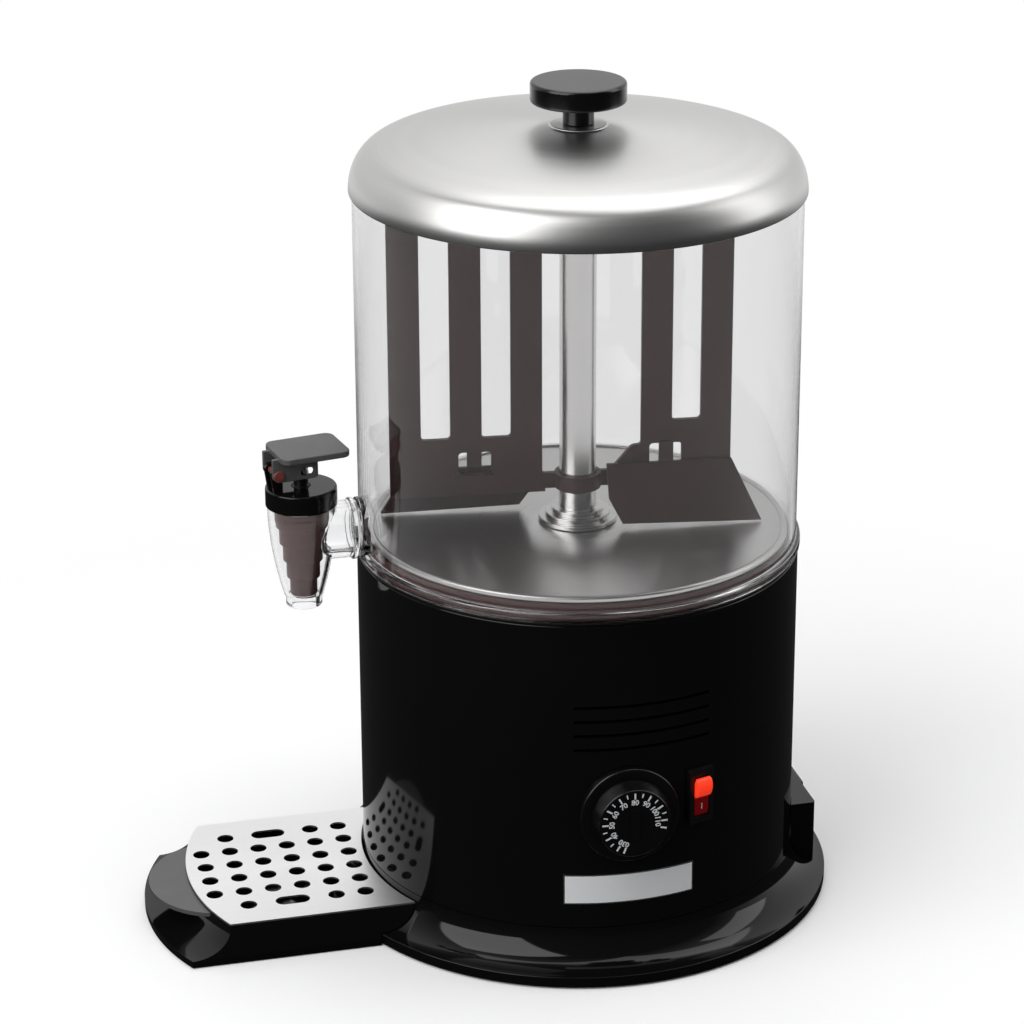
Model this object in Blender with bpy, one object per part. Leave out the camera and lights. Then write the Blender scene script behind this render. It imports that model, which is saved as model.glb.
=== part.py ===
"""Five litre hot chocolate dispenser, built piece by piece.

Metres, +Z up. The drip tray and the tap face -Y, the control panel faces +X and the
power inlet faces +Y. The origin is the middle of the machine's footprint, on the table.
Every piece is placed from the column axis, the upright line through base, jar and lid.
"""

import math

import bmesh
import bpy
from mathutils import Matrix

# Clearances and facets
GAP = 0.0003
RUNNING_GAP = 0.0004
OVERRUN = 0.010
LARGE_SEGMENTS = 40
MEDIUM_SEGMENTS = 24
SMALL_SEGMENTS = 12

# Base skirt, bottom plate and feet
FLARE_WIDTH = 0.0200
RIM_CLEARANCE = 0.0010
RIM_TOP = 0.0070
RIM_WALL = 0.0030
SKIRT_TOP = 0.0260
COLLAR_HEIGHT = 0.0080
COLLAR_WALL = 0.0030
FLARE_POINTS = 5
BOTTOM_PLATE_THICKNESS = 0.0015
FOOT_HEIGHT = 0.0026
FOOT_RADIUS = 0.0110
FOOT_INSET = 0.0300
FOOT_COUNT = 4
BASE_SCREW_INSET = 0.0140
BASE_SCREW_RADIUS = 0.0013
BASE_SCREW_LENGTH = 0.0050
BASE_SCREW_HEAD_RADIUS = 0.0030
BASE_SCREW_HEAD_HEIGHT = 0.0014
BASE_BOSS_RADIUS = 0.0040
COOLING_SLOT_LENGTH = 0.0600
COOLING_SLOT_WIDTH = 0.0050
COOLING_SLOT_PITCH = 0.0120
COOLING_SLOT_COUNT = 5

# Housing shell
HOUSING_RADIUS = 0.1212
HOUSING_WALL = 0.0025
HOUSING_TOP = 0.2020
VENT_LOW_HEIGHT = 0.1312
VENT_PITCH = 0.0081
VENT_SLOT = 0.0018
VENT_COUNT = 4
VENT_START = math.radians(-15.5)
VENT_END = math.radians(20.5)

# Deck ring, water bath and heater
DECK_THICKNESS = 0.0013
DECK_BORE_RADIUS = 0.1065
DECK_SPIGOT_WALL = 0.0027
DECK_SPIGOT_DEPTH = 0.0070
BATH_FLOOR_HEIGHT = 0.1500
BATH_RADIUS = 0.1040
BATH_FLANGE_RADIUS = 0.1115
BATH_WALL = 0.0012
ELEMENT_RADIUS = 0.0700
ELEMENT_TUBE_RADIUS = 0.0040
ELEMENT_LIFT = 0.0120
ELEMENT_LEG_DROP = 0.0120
ELEMENT_BEND = 0.0080
ELEMENT_OPENING = math.radians(24)
ELEMENT_POINTS = 20

# Heater plate, its gasket and the centre flange
HEATER_PLATE_TOP = 0.2150
HEATER_PLATE_THICKNESS = 0.0015
HEATER_PLATE_RADIUS = 0.1150
BEAD_WIDTH = 0.0035
BEAD_RISE = 0.0014
GASKET_WIDTH = 0.0046
FLANGE_RADIUS = 0.0214
FLANGE_TOP_RADIUS = 0.0143
FLANGE_STEP_COUNT = 3
FLANGE_STEP_RISE = 0.0025
SLEEVE_RADIUS = 0.0103

# Column, shaft and drive
COLUMN_RADIUS = 0.0100
COLUMN_STUB_RADIUS = 0.0080
COLUMN_TOP = 0.3830
COLUMN_BORE_RADIUS = 0.0048
COLUMN_STUB_DROP = 0.0100
NUT_RADIUS = 0.0135
NUT_HEIGHT = 0.0060
SEAL_RADIUS = 0.0130
SEAL_THICKNESS = 0.0018
BUSH_RADIUS = 0.0062
BUSH_LENGTH = 0.0120
SHAFT_RADIUS = 0.0040
SHAFT_SQUARE = 0.0068
SHAFT_SQUARE_LENGTH = 0.0100
COUPLING_RADIUS = 0.0080
COUPLING_LENGTH = 0.0130
MOTOR_PLATE_DROP = 0.0260
MOTOR_PLATE_THICKNESS = 0.0025
MOTOR_PLATE_RADIUS = 0.0430
MOTOR_PLATE_BORE_RADIUS = 0.0100
SPACER_RADIUS = 0.0045
SPACER_CIRCLE = 0.0360
SPACER_COUNT = 3
GEARBOX_HEIGHT = 0.0200
GEARBOX_LENGTH = 0.0640
GEARBOX_WIDTH = 0.0540
GEARBOX_BEVEL = 0.0030
MOTOR_RADIUS = 0.0300
MOTOR_HEIGHT = 0.0380
MOTOR_CHAMFER = 0.0040

# Jar
JAR_RADIUS = 0.120
JAR_WALL = 0.0030
JAR_TOP = 0.4090
JAR_LIP_RADIUS = 0.1222
JAR_LIP_HEIGHT = 0.0050
JAR_LIP_CHAMFER = 0.0008
JAR_BOSS_RADIUS = 0.0168
JAR_BOSS_PROUD = 0.0032

# Tap
TAP_REACH = 0.1530
TAP_TURN = math.radians(10)
OUTLET_DROP = 0.0412
OUTLET_RADIUS = 0.0098
OUTLET_BORE_RADIUS = 0.0066
OUTLET_LIP_HEIGHT = 0.0042
SEAT_DROP = 0.0345
TAP_SHOULDER_RISE = 0.0163
TAP_TOP_RADIUS = 0.0184
TAP_WALL = 0.0022
TAP_BULGE_SHARE = 0.85
TAP_PROFILE_POINTS = 4
TAP_NECK_RADIUS = 0.0164
TAP_NECK_HEIGHT = 0.0080
STEM_RISE = 0.0173
STEM_RADIUS = 0.0156
STEM_BORE_RADIUS = 0.0110
STEM_FLANGE_RADIUS = 0.0168
STEM_FLANGE_THICKNESS = 0.0024
STEM_SEAL_THICKNESS = 0.0010
CAP_RADIUS = 0.0193
CAP_RISE = 0.0273
CAP_ROOF_THICKNESS = 0.0020
CAP_CHAMFER = 0.0008
CAP_BORE_RADIUS = 0.0052
EAR_THICKNESS = 0.0026
EAR_SPACING = 0.0092
EAR_WIDTH = 0.0064
PIVOT_RISE = 0.0378
PIVOT_REACH = 0.0155
PIN_RADIUS = 0.0016
PIN_HEAD_RADIUS = 0.0030
PIN_HEAD_THICKNESS = 0.0014
LEVER_RISE = 0.0488
LEVER_THICKNESS = 0.0034
LEVER_WIDTH = 0.0324
LEVER_LENGTH = 0.0385
LEVER_FRONT = 0.0150
LEVER_CORNER = 0.0050
LEVER_EDGE_BEVEL = 0.0008
CHEEK_THICKNESS = 0.0024
CHEEK_FRONT = 0.0030
CHEEK_REAR = 0.0070
CHEEK_DROP = 0.0042
LIFT_SLOT_LENGTH = 0.0030
LIFT_SLOT_PLAY = 0.0006
PLUNGER_ROD_RADIUS = 0.0046
PLUNGER_HEAD_RADIUS = 0.0040
PLUNGER_HEAD_RISE = 0.0423
PLUNGER_FOOT_DEPTH = 0.0250
PLUNGER_FOOT_RADIUS = 0.0030
BELLOWS_RISE = 0.0148
BELLOWS_TOP_RADIUS = 0.0142
BELLOWS_FOOT_RADIUS = 0.0074
BELLOWS_STEP_COUNT = 5

# Lid and knob
LID_RIM_HEIGHT = 0.4036
LID_RADIUS = 0.1218
LID_WALL = 0.0012
LID_SHOULDER_WIDTH = 0.0167
LID_SHOULDER_RISE = 0.0236
LID_SHOULDER_TURN = math.radians(81)
LID_SHOULDER_POINTS = 6
LID_CROWN_RISE = 0.0103
LID_CROWN_POINTS = 3
LID_BOSS_RADIUS = 0.0150
LID_BOSS_RISE = 0.0008
SEAT_RING_WALL = 0.0024
SEAT_RING_LIP = 0.0045
SEAT_RING_THICKNESS = 0.0020
KNOB_RADIUS = 0.0256
KNOB_TOP = 0.4610
KNOB_THICKNESS = 0.0113
KNOB_ROUNDING = 0.0020
KNOB_ROUND_POINTS = 3
KNOB_STEM_RADIUS = 0.0083
KNOB_SCREW_RADIUS = 0.0020
KNOB_SCREW_LENGTH = 0.0130
KNOB_SCREW_HEAD_RADIUS = 0.0045
KNOB_SCREW_HEAD_HEIGHT = 0.0026
KNOB_WASHER_RADIUS = 0.0080
KNOB_WASHER_THICKNESS = 0.0010

# Stirrer and its scraper blades
STIRRER_TURN = math.radians(84)
LONG_WING_REACH = 0.1027
SHORT_WING_REACH = 0.0848
TINE_WIDTH = 0.0170
TINE_PITCH = 0.0330
WING_THICKNESS = 0.0030
WING_BOTTOM = 0.2322
LONG_WEB_TOP = 0.2650
SHORT_WEB_TOP = 0.2700
SHORT_WEB_INNER = 0.0300
SHORT_WEB_SHOULDER = 0.2565
WING_INNER = 0.0180
HUB_BOTTOM = 0.2340
HUB_HEIGHT = 0.0125
HUB_WALL = 0.0024
BRIDGE_BOTTOM = 0.3880
BRIDGE_TOP = 0.3970
TOP_HUB_RADIUS = 0.0120
TOP_HUB_BOTTOM = 0.3842
SOCKET_PLAY = 0.0008
SOCKET_ROOF = 0.0030
CLIP_WINDOW_WIDTH = 0.0180
CLIP_WINDOW_BOTTOM = 0.2440
CLIP_WINDOW_TOP = 0.2570
CLIP_CENTRE = 0.0485
CLIP_PAD_WIDTH = 0.0230
CLIP_PAD_HEIGHT = 0.0085
CLIP_PAD_PROUD = 0.0014
BLADE_SHIFT = 0.0080
BLADE_THICKNESS = 0.0024
BLADE_TOP = 0.2470
BLADE_SPREAD = 0.0165
BLADE_CLEARANCE = 0.0012
BLADE_TOP_INNER = 0.0155
BLADE_TOP_OUTER = 0.0850
BLADE_FOOT_INNER = 0.0220
BLADE_FOOT_OUTER = 0.0990
BLADE_CHAMFER_SHARE = 0.55
TAB_WIDTH = 0.0080
TAB_THICKNESS = 0.0018
TAB_TOP = 0.2585
TAB_BOTTOM = 0.2405

# Control panel
DIAL_AZIMUTH = math.radians(-1.5)
DIAL_HEIGHT = 0.0935
BEZEL_RADIUS = 0.0270
BEZEL_PROUD = 0.0036
BEZEL_BORE_RADIUS = 0.0120
BEZEL_CHAMFER = 0.0014
DIAL_RADIUS = 0.0215
DIAL_DEPTH = 0.0095
DIAL_CHAMFER = 0.0018
DIAL_GRIP_LENGTH = 0.0180
DIAL_GRIP_WIDTH = 0.0050
DIAL_GRIP_RISE = 0.0015
SPINDLE_RADIUS = 0.0030
SPINDLE_BITE = 0.0060
THERMOSTAT_WIDTH = 0.0340
THERMOSTAT_HEIGHT = 0.0300
THERMOSTAT_DEPTH = 0.0220
THERMOSTAT_BEVEL = 0.0020
NECK_RADIUS = 0.0050
SWITCH_AZIMUTH = math.radians(17.8)
SWITCH_HEIGHT = 0.0972
SWITCH_FRAME_WIDTH = 0.0155
SWITCH_FRAME_HEIGHT = 0.0315
SWITCH_FRAME_PROUD = 0.0030
SWITCH_BODY_WIDTH = 0.0122
SWITCH_BODY_HEIGHT = 0.0282
SWITCH_BODY_DEPTH = 0.0240
SWITCH_BEVEL = 0.0006
ROCKER_WIDTH = 0.0088
ROCKER_HEIGHT = 0.0230
ROCKER_RADIUS = 0.0150
ROCKER_DEPTH = 0.0050
ROCKER_WELL_DEPTH = 0.0090
ROCKER_TILT = math.radians(9)
ROCKER_POINTS = 5
LABEL_START = math.radians(-18)
LABEL_END = math.radians(16.2)
LABEL_BOTTOM = 0.0408
LABEL_TOP = 0.0583
LABEL_THICKNESS = 0.0006
LABEL_POINTS = 9

# Terminal box and power inlet
BOX_HALF_WIDTH = 0.0420
BOX_DEPTH = 0.0073
BOX_TOP = 0.0452
BOX_WALL = 0.0025
BOX_FLOOR = 0.0290
BOX_BEVEL = 0.0015
INLET_WIDTH = 0.0240
INLET_HEIGHT = 0.0120
INLET_DEPTH = 0.0110
INLET_CENTRE = 0.0360
INLET_WALL = 0.0015
INLET_FLANGE = 0.0025
INLET_FLANGE_THICKNESS = 0.0015
INLET_OPENING_PLAY = 0.0010
INLET_PIN_WIDTH = 0.0018
INLET_PIN_HEIGHT = 0.0036
INLET_PIN_PITCH = 0.0062
TERMINAL_LENGTH = 0.0440
TERMINAL_WIDTH = 0.0160
TERMINAL_HEIGHT = 0.0130
TERMINAL_REACH = 0.0720
TERMINAL_HOLE_RADIUS = 0.0024
TERMINAL_COUNT = 3

# Drip tray and plate
TRAY_HALF_WIDTH = 0.0600
TRAY_FOOT_HALF_WIDTH = 0.0640
TRAY_FRONT_INSET = 0.0030
TRAY_BOW = 0.0140
TRAY_FOOT_BOW = 0.0160
TRAY_FOOT_RUN = 0.0217
TRAY_BOTTOM = 0.0005
TRAY_TOP = 0.0210
TRAY_FOOT_THICKNESS = 0.0040
TRAY_WALL = 0.0024
TRAY_FLOOR = 0.0024
TRAY_GAP = 0.0006
TRAY_ARC_POINTS = 9
TRAY_COVE_POINTS = 5
TRAY_ROOT = 0.0850
PULL_HALF_WIDTH = 0.0420
PULL_INSET = 0.0020
PULL_ROOT_INSET = 0.0025
PULL_TOP = 0.0200
PULL_THICKNESS = 0.0024
PULL_POINTS = 9
PLATE_THICKNESS = 0.0010
PLATE_INNER_PLAY = 0.0014
PLATE_INNER_POINTS = 11
PLATE_FLANGE_DEPTH = 0.0040
PLATE_FLANGE_LENGTH = 0.0600
PLATE_FLANGE_START = 0.1400
HOLE_RADIUS = 0.0046
HOLE_PITCH = 0.0162
HOLE_FIRST_REACH = 0.1305
HOLE_ROWS = 6
HOLE_COLUMNS = 6
HOLE_SEGMENTS = 10
SLOT_FIRST_COLUMN = 2
SLOT_LENGTH_SHARE = 0.60

# Heights and radii that follow from the sizes above
BASE_RADIUS = HOUSING_RADIUS + FLARE_WIDTH
FOOT_CIRCLE = BASE_RADIUS - FOOT_INSET
BASE_SCREW_CIRCLE = BASE_RADIUS - BASE_SCREW_INSET
HOUSING_BORE = HOUSING_RADIUS - HOUSING_WALL
DECK_BOTTOM = HOUSING_TOP + GAP
DECK_TOP = DECK_BOTTOM + DECK_THICKNESS
JAR_BOTTOM = DECK_TOP + GAP
JAR_BORE = JAR_RADIUS - JAR_WALL
STEM_HEIGHT = JAR_BOTTOM + STEM_RISE
OUTLET_HEIGHT = STEM_HEIGHT - OUTLET_DROP
SEAT_HEIGHT = STEM_HEIGHT - SEAT_DROP
TAP_SHOULDER_HEIGHT = STEM_HEIGHT + TAP_SHOULDER_RISE
CAP_TOP = STEM_HEIGHT + CAP_RISE
PIVOT_HEIGHT = STEM_HEIGHT + PIVOT_RISE
LEVER_TOP = STEM_HEIGHT + LEVER_RISE
PLUNGER_HEAD_TOP = STEM_HEIGHT + PLUNGER_HEAD_RISE
BELLOWS_TOP = STEM_HEIGHT + BELLOWS_RISE
BATH_FLANGE_TOP = DECK_TOP + GAP + BATH_WALL
HEATER_PLATE_BOTTOM = HEATER_PLATE_TOP - HEATER_PLATE_THICKNESS
BATH_UNDERSIDE = BATH_FLOOR_HEIGHT - GAP
MOTOR_PLATE_TOP = BATH_UNDERSIDE - MOTOR_PLATE_DROP
MOTOR_PLATE_BOTTOM = MOTOR_PLATE_TOP - MOTOR_PLATE_THICKNESS
GEARBOX_TOP = MOTOR_PLATE_BOTTOM - GAP
GEARBOX_BOTTOM = GEARBOX_TOP - GEARBOX_HEIGHT
COLUMN_STUB_BOTTOM = BATH_UNDERSIDE - COLUMN_STUB_DROP
COUPLING_TOP = COLUMN_STUB_BOTTOM - GAP
COUPLING_BOTTOM = COUPLING_TOP - COUPLING_LENGTH
COUPLING_MIDDLE = (COUPLING_TOP + COUPLING_BOTTOM) / 2
FLANGE_BOTTOM = HEATER_PLATE_TOP + GAP
FLANGE_STEPS_TOP = FLANGE_BOTTOM + FLANGE_STEP_COUNT * FLANGE_STEP_RISE
SLEEVE_TOP = HUB_BOTTOM - 2 * RUNNING_GAP
BOTTOM_PLATE_BOTTOM = FOOT_HEIGHT + GAP
BOTTOM_PLATE_TOP = BOTTOM_PLATE_BOTTOM + BOTTOM_PLATE_THICKNESS
LID_CROWN_EDGE = LID_RADIUS - LID_SHOULDER_WIDTH * (1 - math.cos(LID_SHOULDER_TURN))
LID_SHOULDER_TOP = LID_RIM_HEIGHT + LID_SHOULDER_RISE * math.sin(LID_SHOULDER_TURN)
LID_APEX = LID_SHOULDER_TOP + LID_CROWN_RISE
LID_BOSS_TOP = LID_APEX + LID_BOSS_RISE
TAP_SEAT_FACE = TAP_REACH - JAR_RADIUS - JAR_BOSS_PROUD
PLATE_BOTTOM = TRAY_TOP + GAP
PLATE_TOP = PLATE_BOTTOM + PLATE_THICKNESS
PLATE_INNER_RADIUS = HOUSING_RADIUS + PLATE_INNER_PLAY
TRAY_CORNER_REACH = HOLE_FIRST_REACH + (HOLE_COLUMNS - 1) * HOLE_PITCH - TRAY_FRONT_INSET
TRAY_APEX_REACH = TRAY_CORNER_REACH + TRAY_BOW
TRAY_FOOT_CORNER_REACH = TRAY_CORNER_REACH + TRAY_FOOT_RUN
TRAY_FOOT_APEX_REACH = TRAY_FOOT_CORNER_REACH + TRAY_FOOT_BOW
PULL_APEX_REACH = TRAY_FOOT_APEX_REACH - PULL_INSET
PULL_ROOT_REACH = TRAY_CORNER_REACH - PULL_ROOT_INSET
BOX_BACK = HOUSING_RADIUS + BOX_DEPTH
COLUMN_OFFSET = (TRAY_FOOT_APEX_REACH - BASE_RADIUS) / 2

QUARTER_TURN = math.pi / 2
FULL_TURN = 2 * math.pi


# Scene, materials and frames


def clear_scene():
    for old in list(bpy.data.objects):
        bpy.data.objects.remove(old, do_unlink=True)


def finish(name, colour, roughness, metallic=0.0, transmission=0.0):
    """A Principled material made once and shared by name."""
    made = bpy.data.materials.get(name) or bpy.data.materials.new(name)
    made.use_nodes = True
    shader = made.node_tree.nodes["Principled BSDF"]
    shader.inputs["Base Color"].default_value = (*colour, 1.0)
    shader.inputs["Roughness"].default_value = roughness
    shader.inputs["Metallic"].default_value = metallic
    shader.inputs["Transmission Weight"].default_value = transmission
    made.diffuse_color = (*colour, 1.0)
    return made


def black_gloss():
    return finish("black_gloss_plastic", (0.008, 0.008, 0.009), 0.12)


def black_satin():
    return finish("black_satin_plastic", (0.015, 0.015, 0.016), 0.35)


def brushed_steel():
    return finish("brushed_steel", (0.62, 0.61, 0.60), 0.30, metallic=1.0)


def plain_steel():
    return finish("plain_steel", (0.50, 0.50, 0.50), 0.35, metallic=1.0)


def brass():
    return finish("brass", (0.72, 0.53, 0.25), 0.30, metallic=1.0)


def clear_plastic():
    return finish("clear_plastic", (0.95, 0.96, 0.97), 0.04, transmission=1.0)


def brown_plastic():
    return finish("brown_plastic", (0.060, 0.032, 0.028), 0.40)


def brown_silicone():
    return finish("brown_silicone", (0.120, 0.055, 0.050), 0.55)


def black_rubber():
    return finish("black_rubber", (0.020, 0.020, 0.020), 0.80)


def red_lens():
    return finish("red_lens", (0.90, 0.08, 0.02), 0.20)


def blank_label():
    return finish("blank_label", (0.82, 0.84, 0.83), 0.35)


def frame_empty(name, parent=None, location=(0, 0, 0), rotation=(0, 0, 0)):
    """An empty that carries pieces and lies on their axis."""
    empty = bpy.data.objects.new(name, None)
    bpy.context.scene.collection.objects.link(empty)
    empty.parent = parent
    empty.location = location
    empty.rotation_euler = rotation
    return empty


def radial_frame(name, parent, azimuth, height):
    """A frame on the column axis whose own +Z points outward at this azimuth."""
    return frame_empty(name, parent, (0, 0, height), (0, QUARTER_TURN, azimuth))


# Meshes


def add_piece(name, mesh, material, parent):
    """Links the mesh as an object, closed, facing out and shaded smooth."""
    bmesh.ops.remove_doubles(mesh, verts=mesh.verts, dist=1e-7)
    bmesh.ops.recalc_face_normals(mesh, faces=mesh.faces)
    if mesh.calc_volume(signed=True) < 0:
        bmesh.ops.reverse_faces(mesh, faces=mesh.faces)
    data = bpy.data.meshes.new(name)
    mesh.to_mesh(data)
    mesh.free()
    data.shade_smooth()
    data.set_sharp_from_angle(angle=math.radians(35))
    if material is not None:
        data.materials.append(material)
    piece = bpy.data.objects.new(name, data)
    bpy.context.scene.collection.objects.link(piece)
    piece.parent = parent
    return piece


def turned_mesh(profile, segments):
    """The profile, points of radius and height, spun about +Z."""
    mesh = bmesh.new()
    points = [mesh.verts.new((radius, 0, height)) for radius, height in profile]
    edges = [mesh.edges.new(pair) for pair in zip(points, points[1:])]
    if profile[0][0] > 0:
        edges.append(mesh.edges.new((points[-1], points[0])))
    bmesh.ops.spin(
        mesh,
        geom=points + edges,
        cent=(0, 0, 0),
        axis=(0, 0, 1),
        dvec=(0, 0, 0),
        angle=FULL_TURN,
        steps=segments,
        use_merge=True,
        use_duplicate=False,
    )
    return mesh


def turned(name, profile, material, parent, segments=MEDIUM_SEGMENTS):
    return add_piece(name, turned_mesh(profile, segments), material, parent)


def extrude_outline(mesh, outline, bottom, top):
    """Adds a prism of the outline, points in the XY plane, to the mesh."""
    face = mesh.faces.new([mesh.verts.new((x, y, bottom)) for x, y in outline])
    lifted = bmesh.ops.extrude_face_region(mesh, geom=[face])
    moved = [item for item in lifted["geom"] if isinstance(item, bmesh.types.BMVert)]
    bmesh.ops.translate(mesh, verts=moved, vec=(0, 0, top - bottom))


def prism(name, outline, bottom, top, material, parent):
    mesh = bmesh.new()
    extrude_outline(mesh, outline, bottom, top)
    return add_piece(name, mesh, material, parent)


def side_prism(name, outline, near, far, material, parent):
    """A prism whose outline lies in the XZ plane and which runs along Y from near to far."""
    mesh = bmesh.new()
    extrude_outline(mesh, outline, -far, -near)
    bmesh.ops.rotate(mesh, verts=mesh.verts, matrix=Matrix.Rotation(QUARTER_TURN, 3, "X"))
    return add_piece(name, mesh, material, parent)


def block(name, low, high, material, parent):
    """A box between two corners."""
    outline = [(low[0], low[1]), (high[0], low[1]), (high[0], high[1]), (low[0], high[1])]
    return prism(name, outline, low[2], high[2], material, parent)


def cylinder(name, radius, bottom, top, material, parent, segments=SMALL_SEGMENTS):
    profile = [(0, bottom), (radius, bottom), (radius, top), (0, top)]
    return turned(name, profile, material, parent, segments)


def loft(name, rings, material, parent):
    """Skins rings of equal count, bottom to top, and closes both ends."""
    mesh = bmesh.new()
    made = [[mesh.verts.new(point) for point in ring] for ring in rings]
    for lower, upper in zip(made, made[1:]):
        for i, start in enumerate(lower):
            follow = (i + 1) % len(lower)
            mesh.faces.new((start, lower[follow], upper[follow], upper[i]))
    mesh.faces.new(reversed(made[0]))
    mesh.faces.new(made[-1])
    return add_piece(name, mesh, material, parent)


def arc(centre, radii, start, end, count):
    """Points on an ellipse arc, both ends included."""
    turns = [start + (end - start) * i / (count - 1) for i in range(count)]
    return [
        (centre[0] + radii[0] * math.cos(turn), centre[1] + radii[1] * math.sin(turn))
        for turn in turns
    ]


def rounded_rectangle(width, height, corner, centre=(0, 0), count=2):
    """An outline with rounded corners, anticlockwise."""
    outline = []
    for quarter, (side_x, side_y) in enumerate(((1, 1), (-1, 1), (-1, -1), (1, -1))):
        middle = (
            centre[0] + side_x * (width / 2 - corner),
            centre[1] + side_y * (height / 2 - corner),
        )
        start = quarter * QUARTER_TURN
        outline += arc(middle, (corner, corner), start, start + QUARTER_TURN, count)
    return outline


# Modifiers


def as_helper(piece):
    piece.hide_render = True
    piece.display_type = "WIRE"
    return piece


def combine(piece, helper, operation):
    change = piece.modifiers.new(helper.name, "BOOLEAN")
    change.operation = operation
    change.solver = "EXACT"
    change.object = as_helper(helper)


def cut(piece, cutter):
    combine(piece, cutter, "DIFFERENCE")


def join(piece, addition):
    combine(piece, addition, "UNION")


def bevel(piece, width, segments=1):
    change = piece.modifiers.new("edge", "BEVEL")
    change.width = width
    change.segments = segments
    change.limit_method = "ANGLE"
    change.angle_limit = math.radians(50)


def place(piece, location, rotation=(0, 0, 0)):
    piece.location = location
    piece.rotation_euler = rotation
    return piece


def ring_places(count, radius, first_turn=0.0):
    """Angles and places evenly round a circle about the column axis."""
    for i in range(count):
        turn = first_turn + FULL_TURN * i / count
        yield turn, (radius * math.cos(turn), radius * math.sin(turn))


# Base


def flare(offset, top_radius):
    """The skirt's concave outer curve, pushed out by the offset, from the rim up to the housing."""
    width = BASE_RADIUS - top_radius - offset
    rise = SKIRT_TOP - RIM_TOP - offset
    centre = (BASE_RADIUS + offset, SKIRT_TOP)
    reach = (width + offset, rise)
    return arc(centre, reach, -QUARTER_TURN, -math.pi, FLARE_POINTS)


def base_clearance(name, offset, parent):
    """A solid of the skirt and housing, grown by the offset, that cuts what stands against them."""
    rim = BASE_RADIUS + offset
    wall = HOUSING_RADIUS + offset
    profile = [(0, -OVERRUN), (rim, -OVERRUN)]
    profile += flare(offset, HOUSING_RADIUS)
    profile += [(wall, HOUSING_TOP), (0, HOUSING_TOP)]
    return turned(name, profile, None, parent, LARGE_SEGMENTS)


def build_skirt(machine):
    collar = HOUSING_BORE - GAP
    collar_bore = collar - COLLAR_WALL
    rim_bore = BASE_RADIUS - RIM_WALL
    outer = [(BASE_RADIUS, RIM_CLEARANCE)] + flare(0, HOUSING_RADIUS)
    outer += [(collar, SKIRT_TOP), (collar, SKIRT_TOP + COLLAR_HEIGHT)]
    inner_centre = (rim_bore, SKIRT_TOP)
    ceiling = RIM_TOP - RIM_WALL / 2 - RIM_CLEARANCE
    inner_reach = (rim_bore - collar_bore, SKIRT_TOP - ceiling)
    inner = arc(inner_centre, inner_reach, -math.pi, -QUARTER_TURN, FLARE_POINTS)
    profile = outer + [(collar_bore, SKIRT_TOP + COLLAR_HEIGHT)] + inner
    profile += [(rim_bore, RIM_CLEARANCE)]
    skirt = turned("base_skirt", profile, black_gloss(), machine, LARGE_SEGMENTS)
    boss_bottom = BOTTOM_PLATE_TOP + GAP
    for number, (turn, (x, y)) in enumerate(ring_places(FOOT_COUNT, BASE_SCREW_CIRCLE, QUARTER_TURN / 2)):
        boss_top = boss_bottom + BASE_SCREW_LENGTH
        boss = cylinder(f"skirt_boss_{number}", BASE_BOSS_RADIUS, boss_bottom, boss_top, None, machine)
        join(skirt, place(boss, (x, y, 0)))
        pilot = BASE_SCREW_RADIUS + GAP
        depth = boss_bottom + BASE_SCREW_LENGTH - RIM_WALL / 2
        hole = cylinder(f"skirt_hole_{number}", pilot, -OVERRUN, depth, None, machine)
        cut(skirt, place(hole, (x, y, 0)))
    cut(skirt, inlet_opening("skirt_inlet_opening", machine))


def build_bottom_plate(machine):
    radius = BASE_RADIUS - RIM_WALL - GAP
    plate = cylinder(
        "bottom_plate", radius, BOTTOM_PLATE_BOTTOM, BOTTOM_PLATE_TOP, plain_steel(), machine, LARGE_SEGMENTS
    )
    slots = bmesh.new()
    for i in range(COOLING_SLOT_COUNT):
        middle = (0, (i - (COOLING_SLOT_COUNT - 1) / 2) * COOLING_SLOT_PITCH)
        outline = rounded_rectangle(
            COOLING_SLOT_LENGTH, COOLING_SLOT_WIDTH, COOLING_SLOT_WIDTH / 2 - GAP, middle
        )
        extrude_outline(slots, outline, -OVERRUN, BOTTOM_PLATE_TOP + OVERRUN)
    cut(plate, add_piece("cooling_slots", slots, None, machine))
    for number, (turn, (x, y)) in enumerate(ring_places(FOOT_COUNT, BASE_SCREW_CIRCLE, QUARTER_TURN / 2)):
        bore = BASE_SCREW_RADIUS + GAP
        hole = cylinder(f"plate_hole_{number}", bore, -OVERRUN, OVERRUN, None, machine)
        cut(plate, place(hole, (x, y, 0)))


def build_feet(machine):
    for number, (turn, (x, y)) in enumerate(ring_places(FOOT_COUNT, FOOT_CIRCLE, QUARTER_TURN / 2)):
        foot = cylinder(f"foot_{number + 1}", FOOT_RADIUS, 0, FOOT_HEIGHT, black_rubber(), machine)
        place(foot, (x, y, 0))
    head_bottom = BOTTOM_PLATE_BOTTOM - GAP - BASE_SCREW_HEAD_HEIGHT
    for number, (turn, (x, y)) in enumerate(ring_places(FOOT_COUNT, BASE_SCREW_CIRCLE, QUARTER_TURN / 2)):
        head_top = head_bottom + BASE_SCREW_HEAD_HEIGHT
        tip = head_top + BASE_SCREW_LENGTH
        profile = [(0, head_bottom), (BASE_SCREW_HEAD_RADIUS, head_bottom)]
        profile += [(BASE_SCREW_HEAD_RADIUS, head_top), (BASE_SCREW_RADIUS, head_top)]
        profile += [(BASE_SCREW_RADIUS, tip), (0, tip)]
        screw = turned(f"base_screw_{number + 1}", profile, plain_steel(), machine, SMALL_SEGMENTS)
        place(screw, (x, y, 0))


# Housing


def sector(inner, outer, start, end, count):
    """An outline between two radii and two azimuths about the column axis."""
    centre = (0, 0)
    outline = arc(centre, (outer, outer), start, end, count)
    return outline + arc(centre, (inner, inner), end, start, count)


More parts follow.
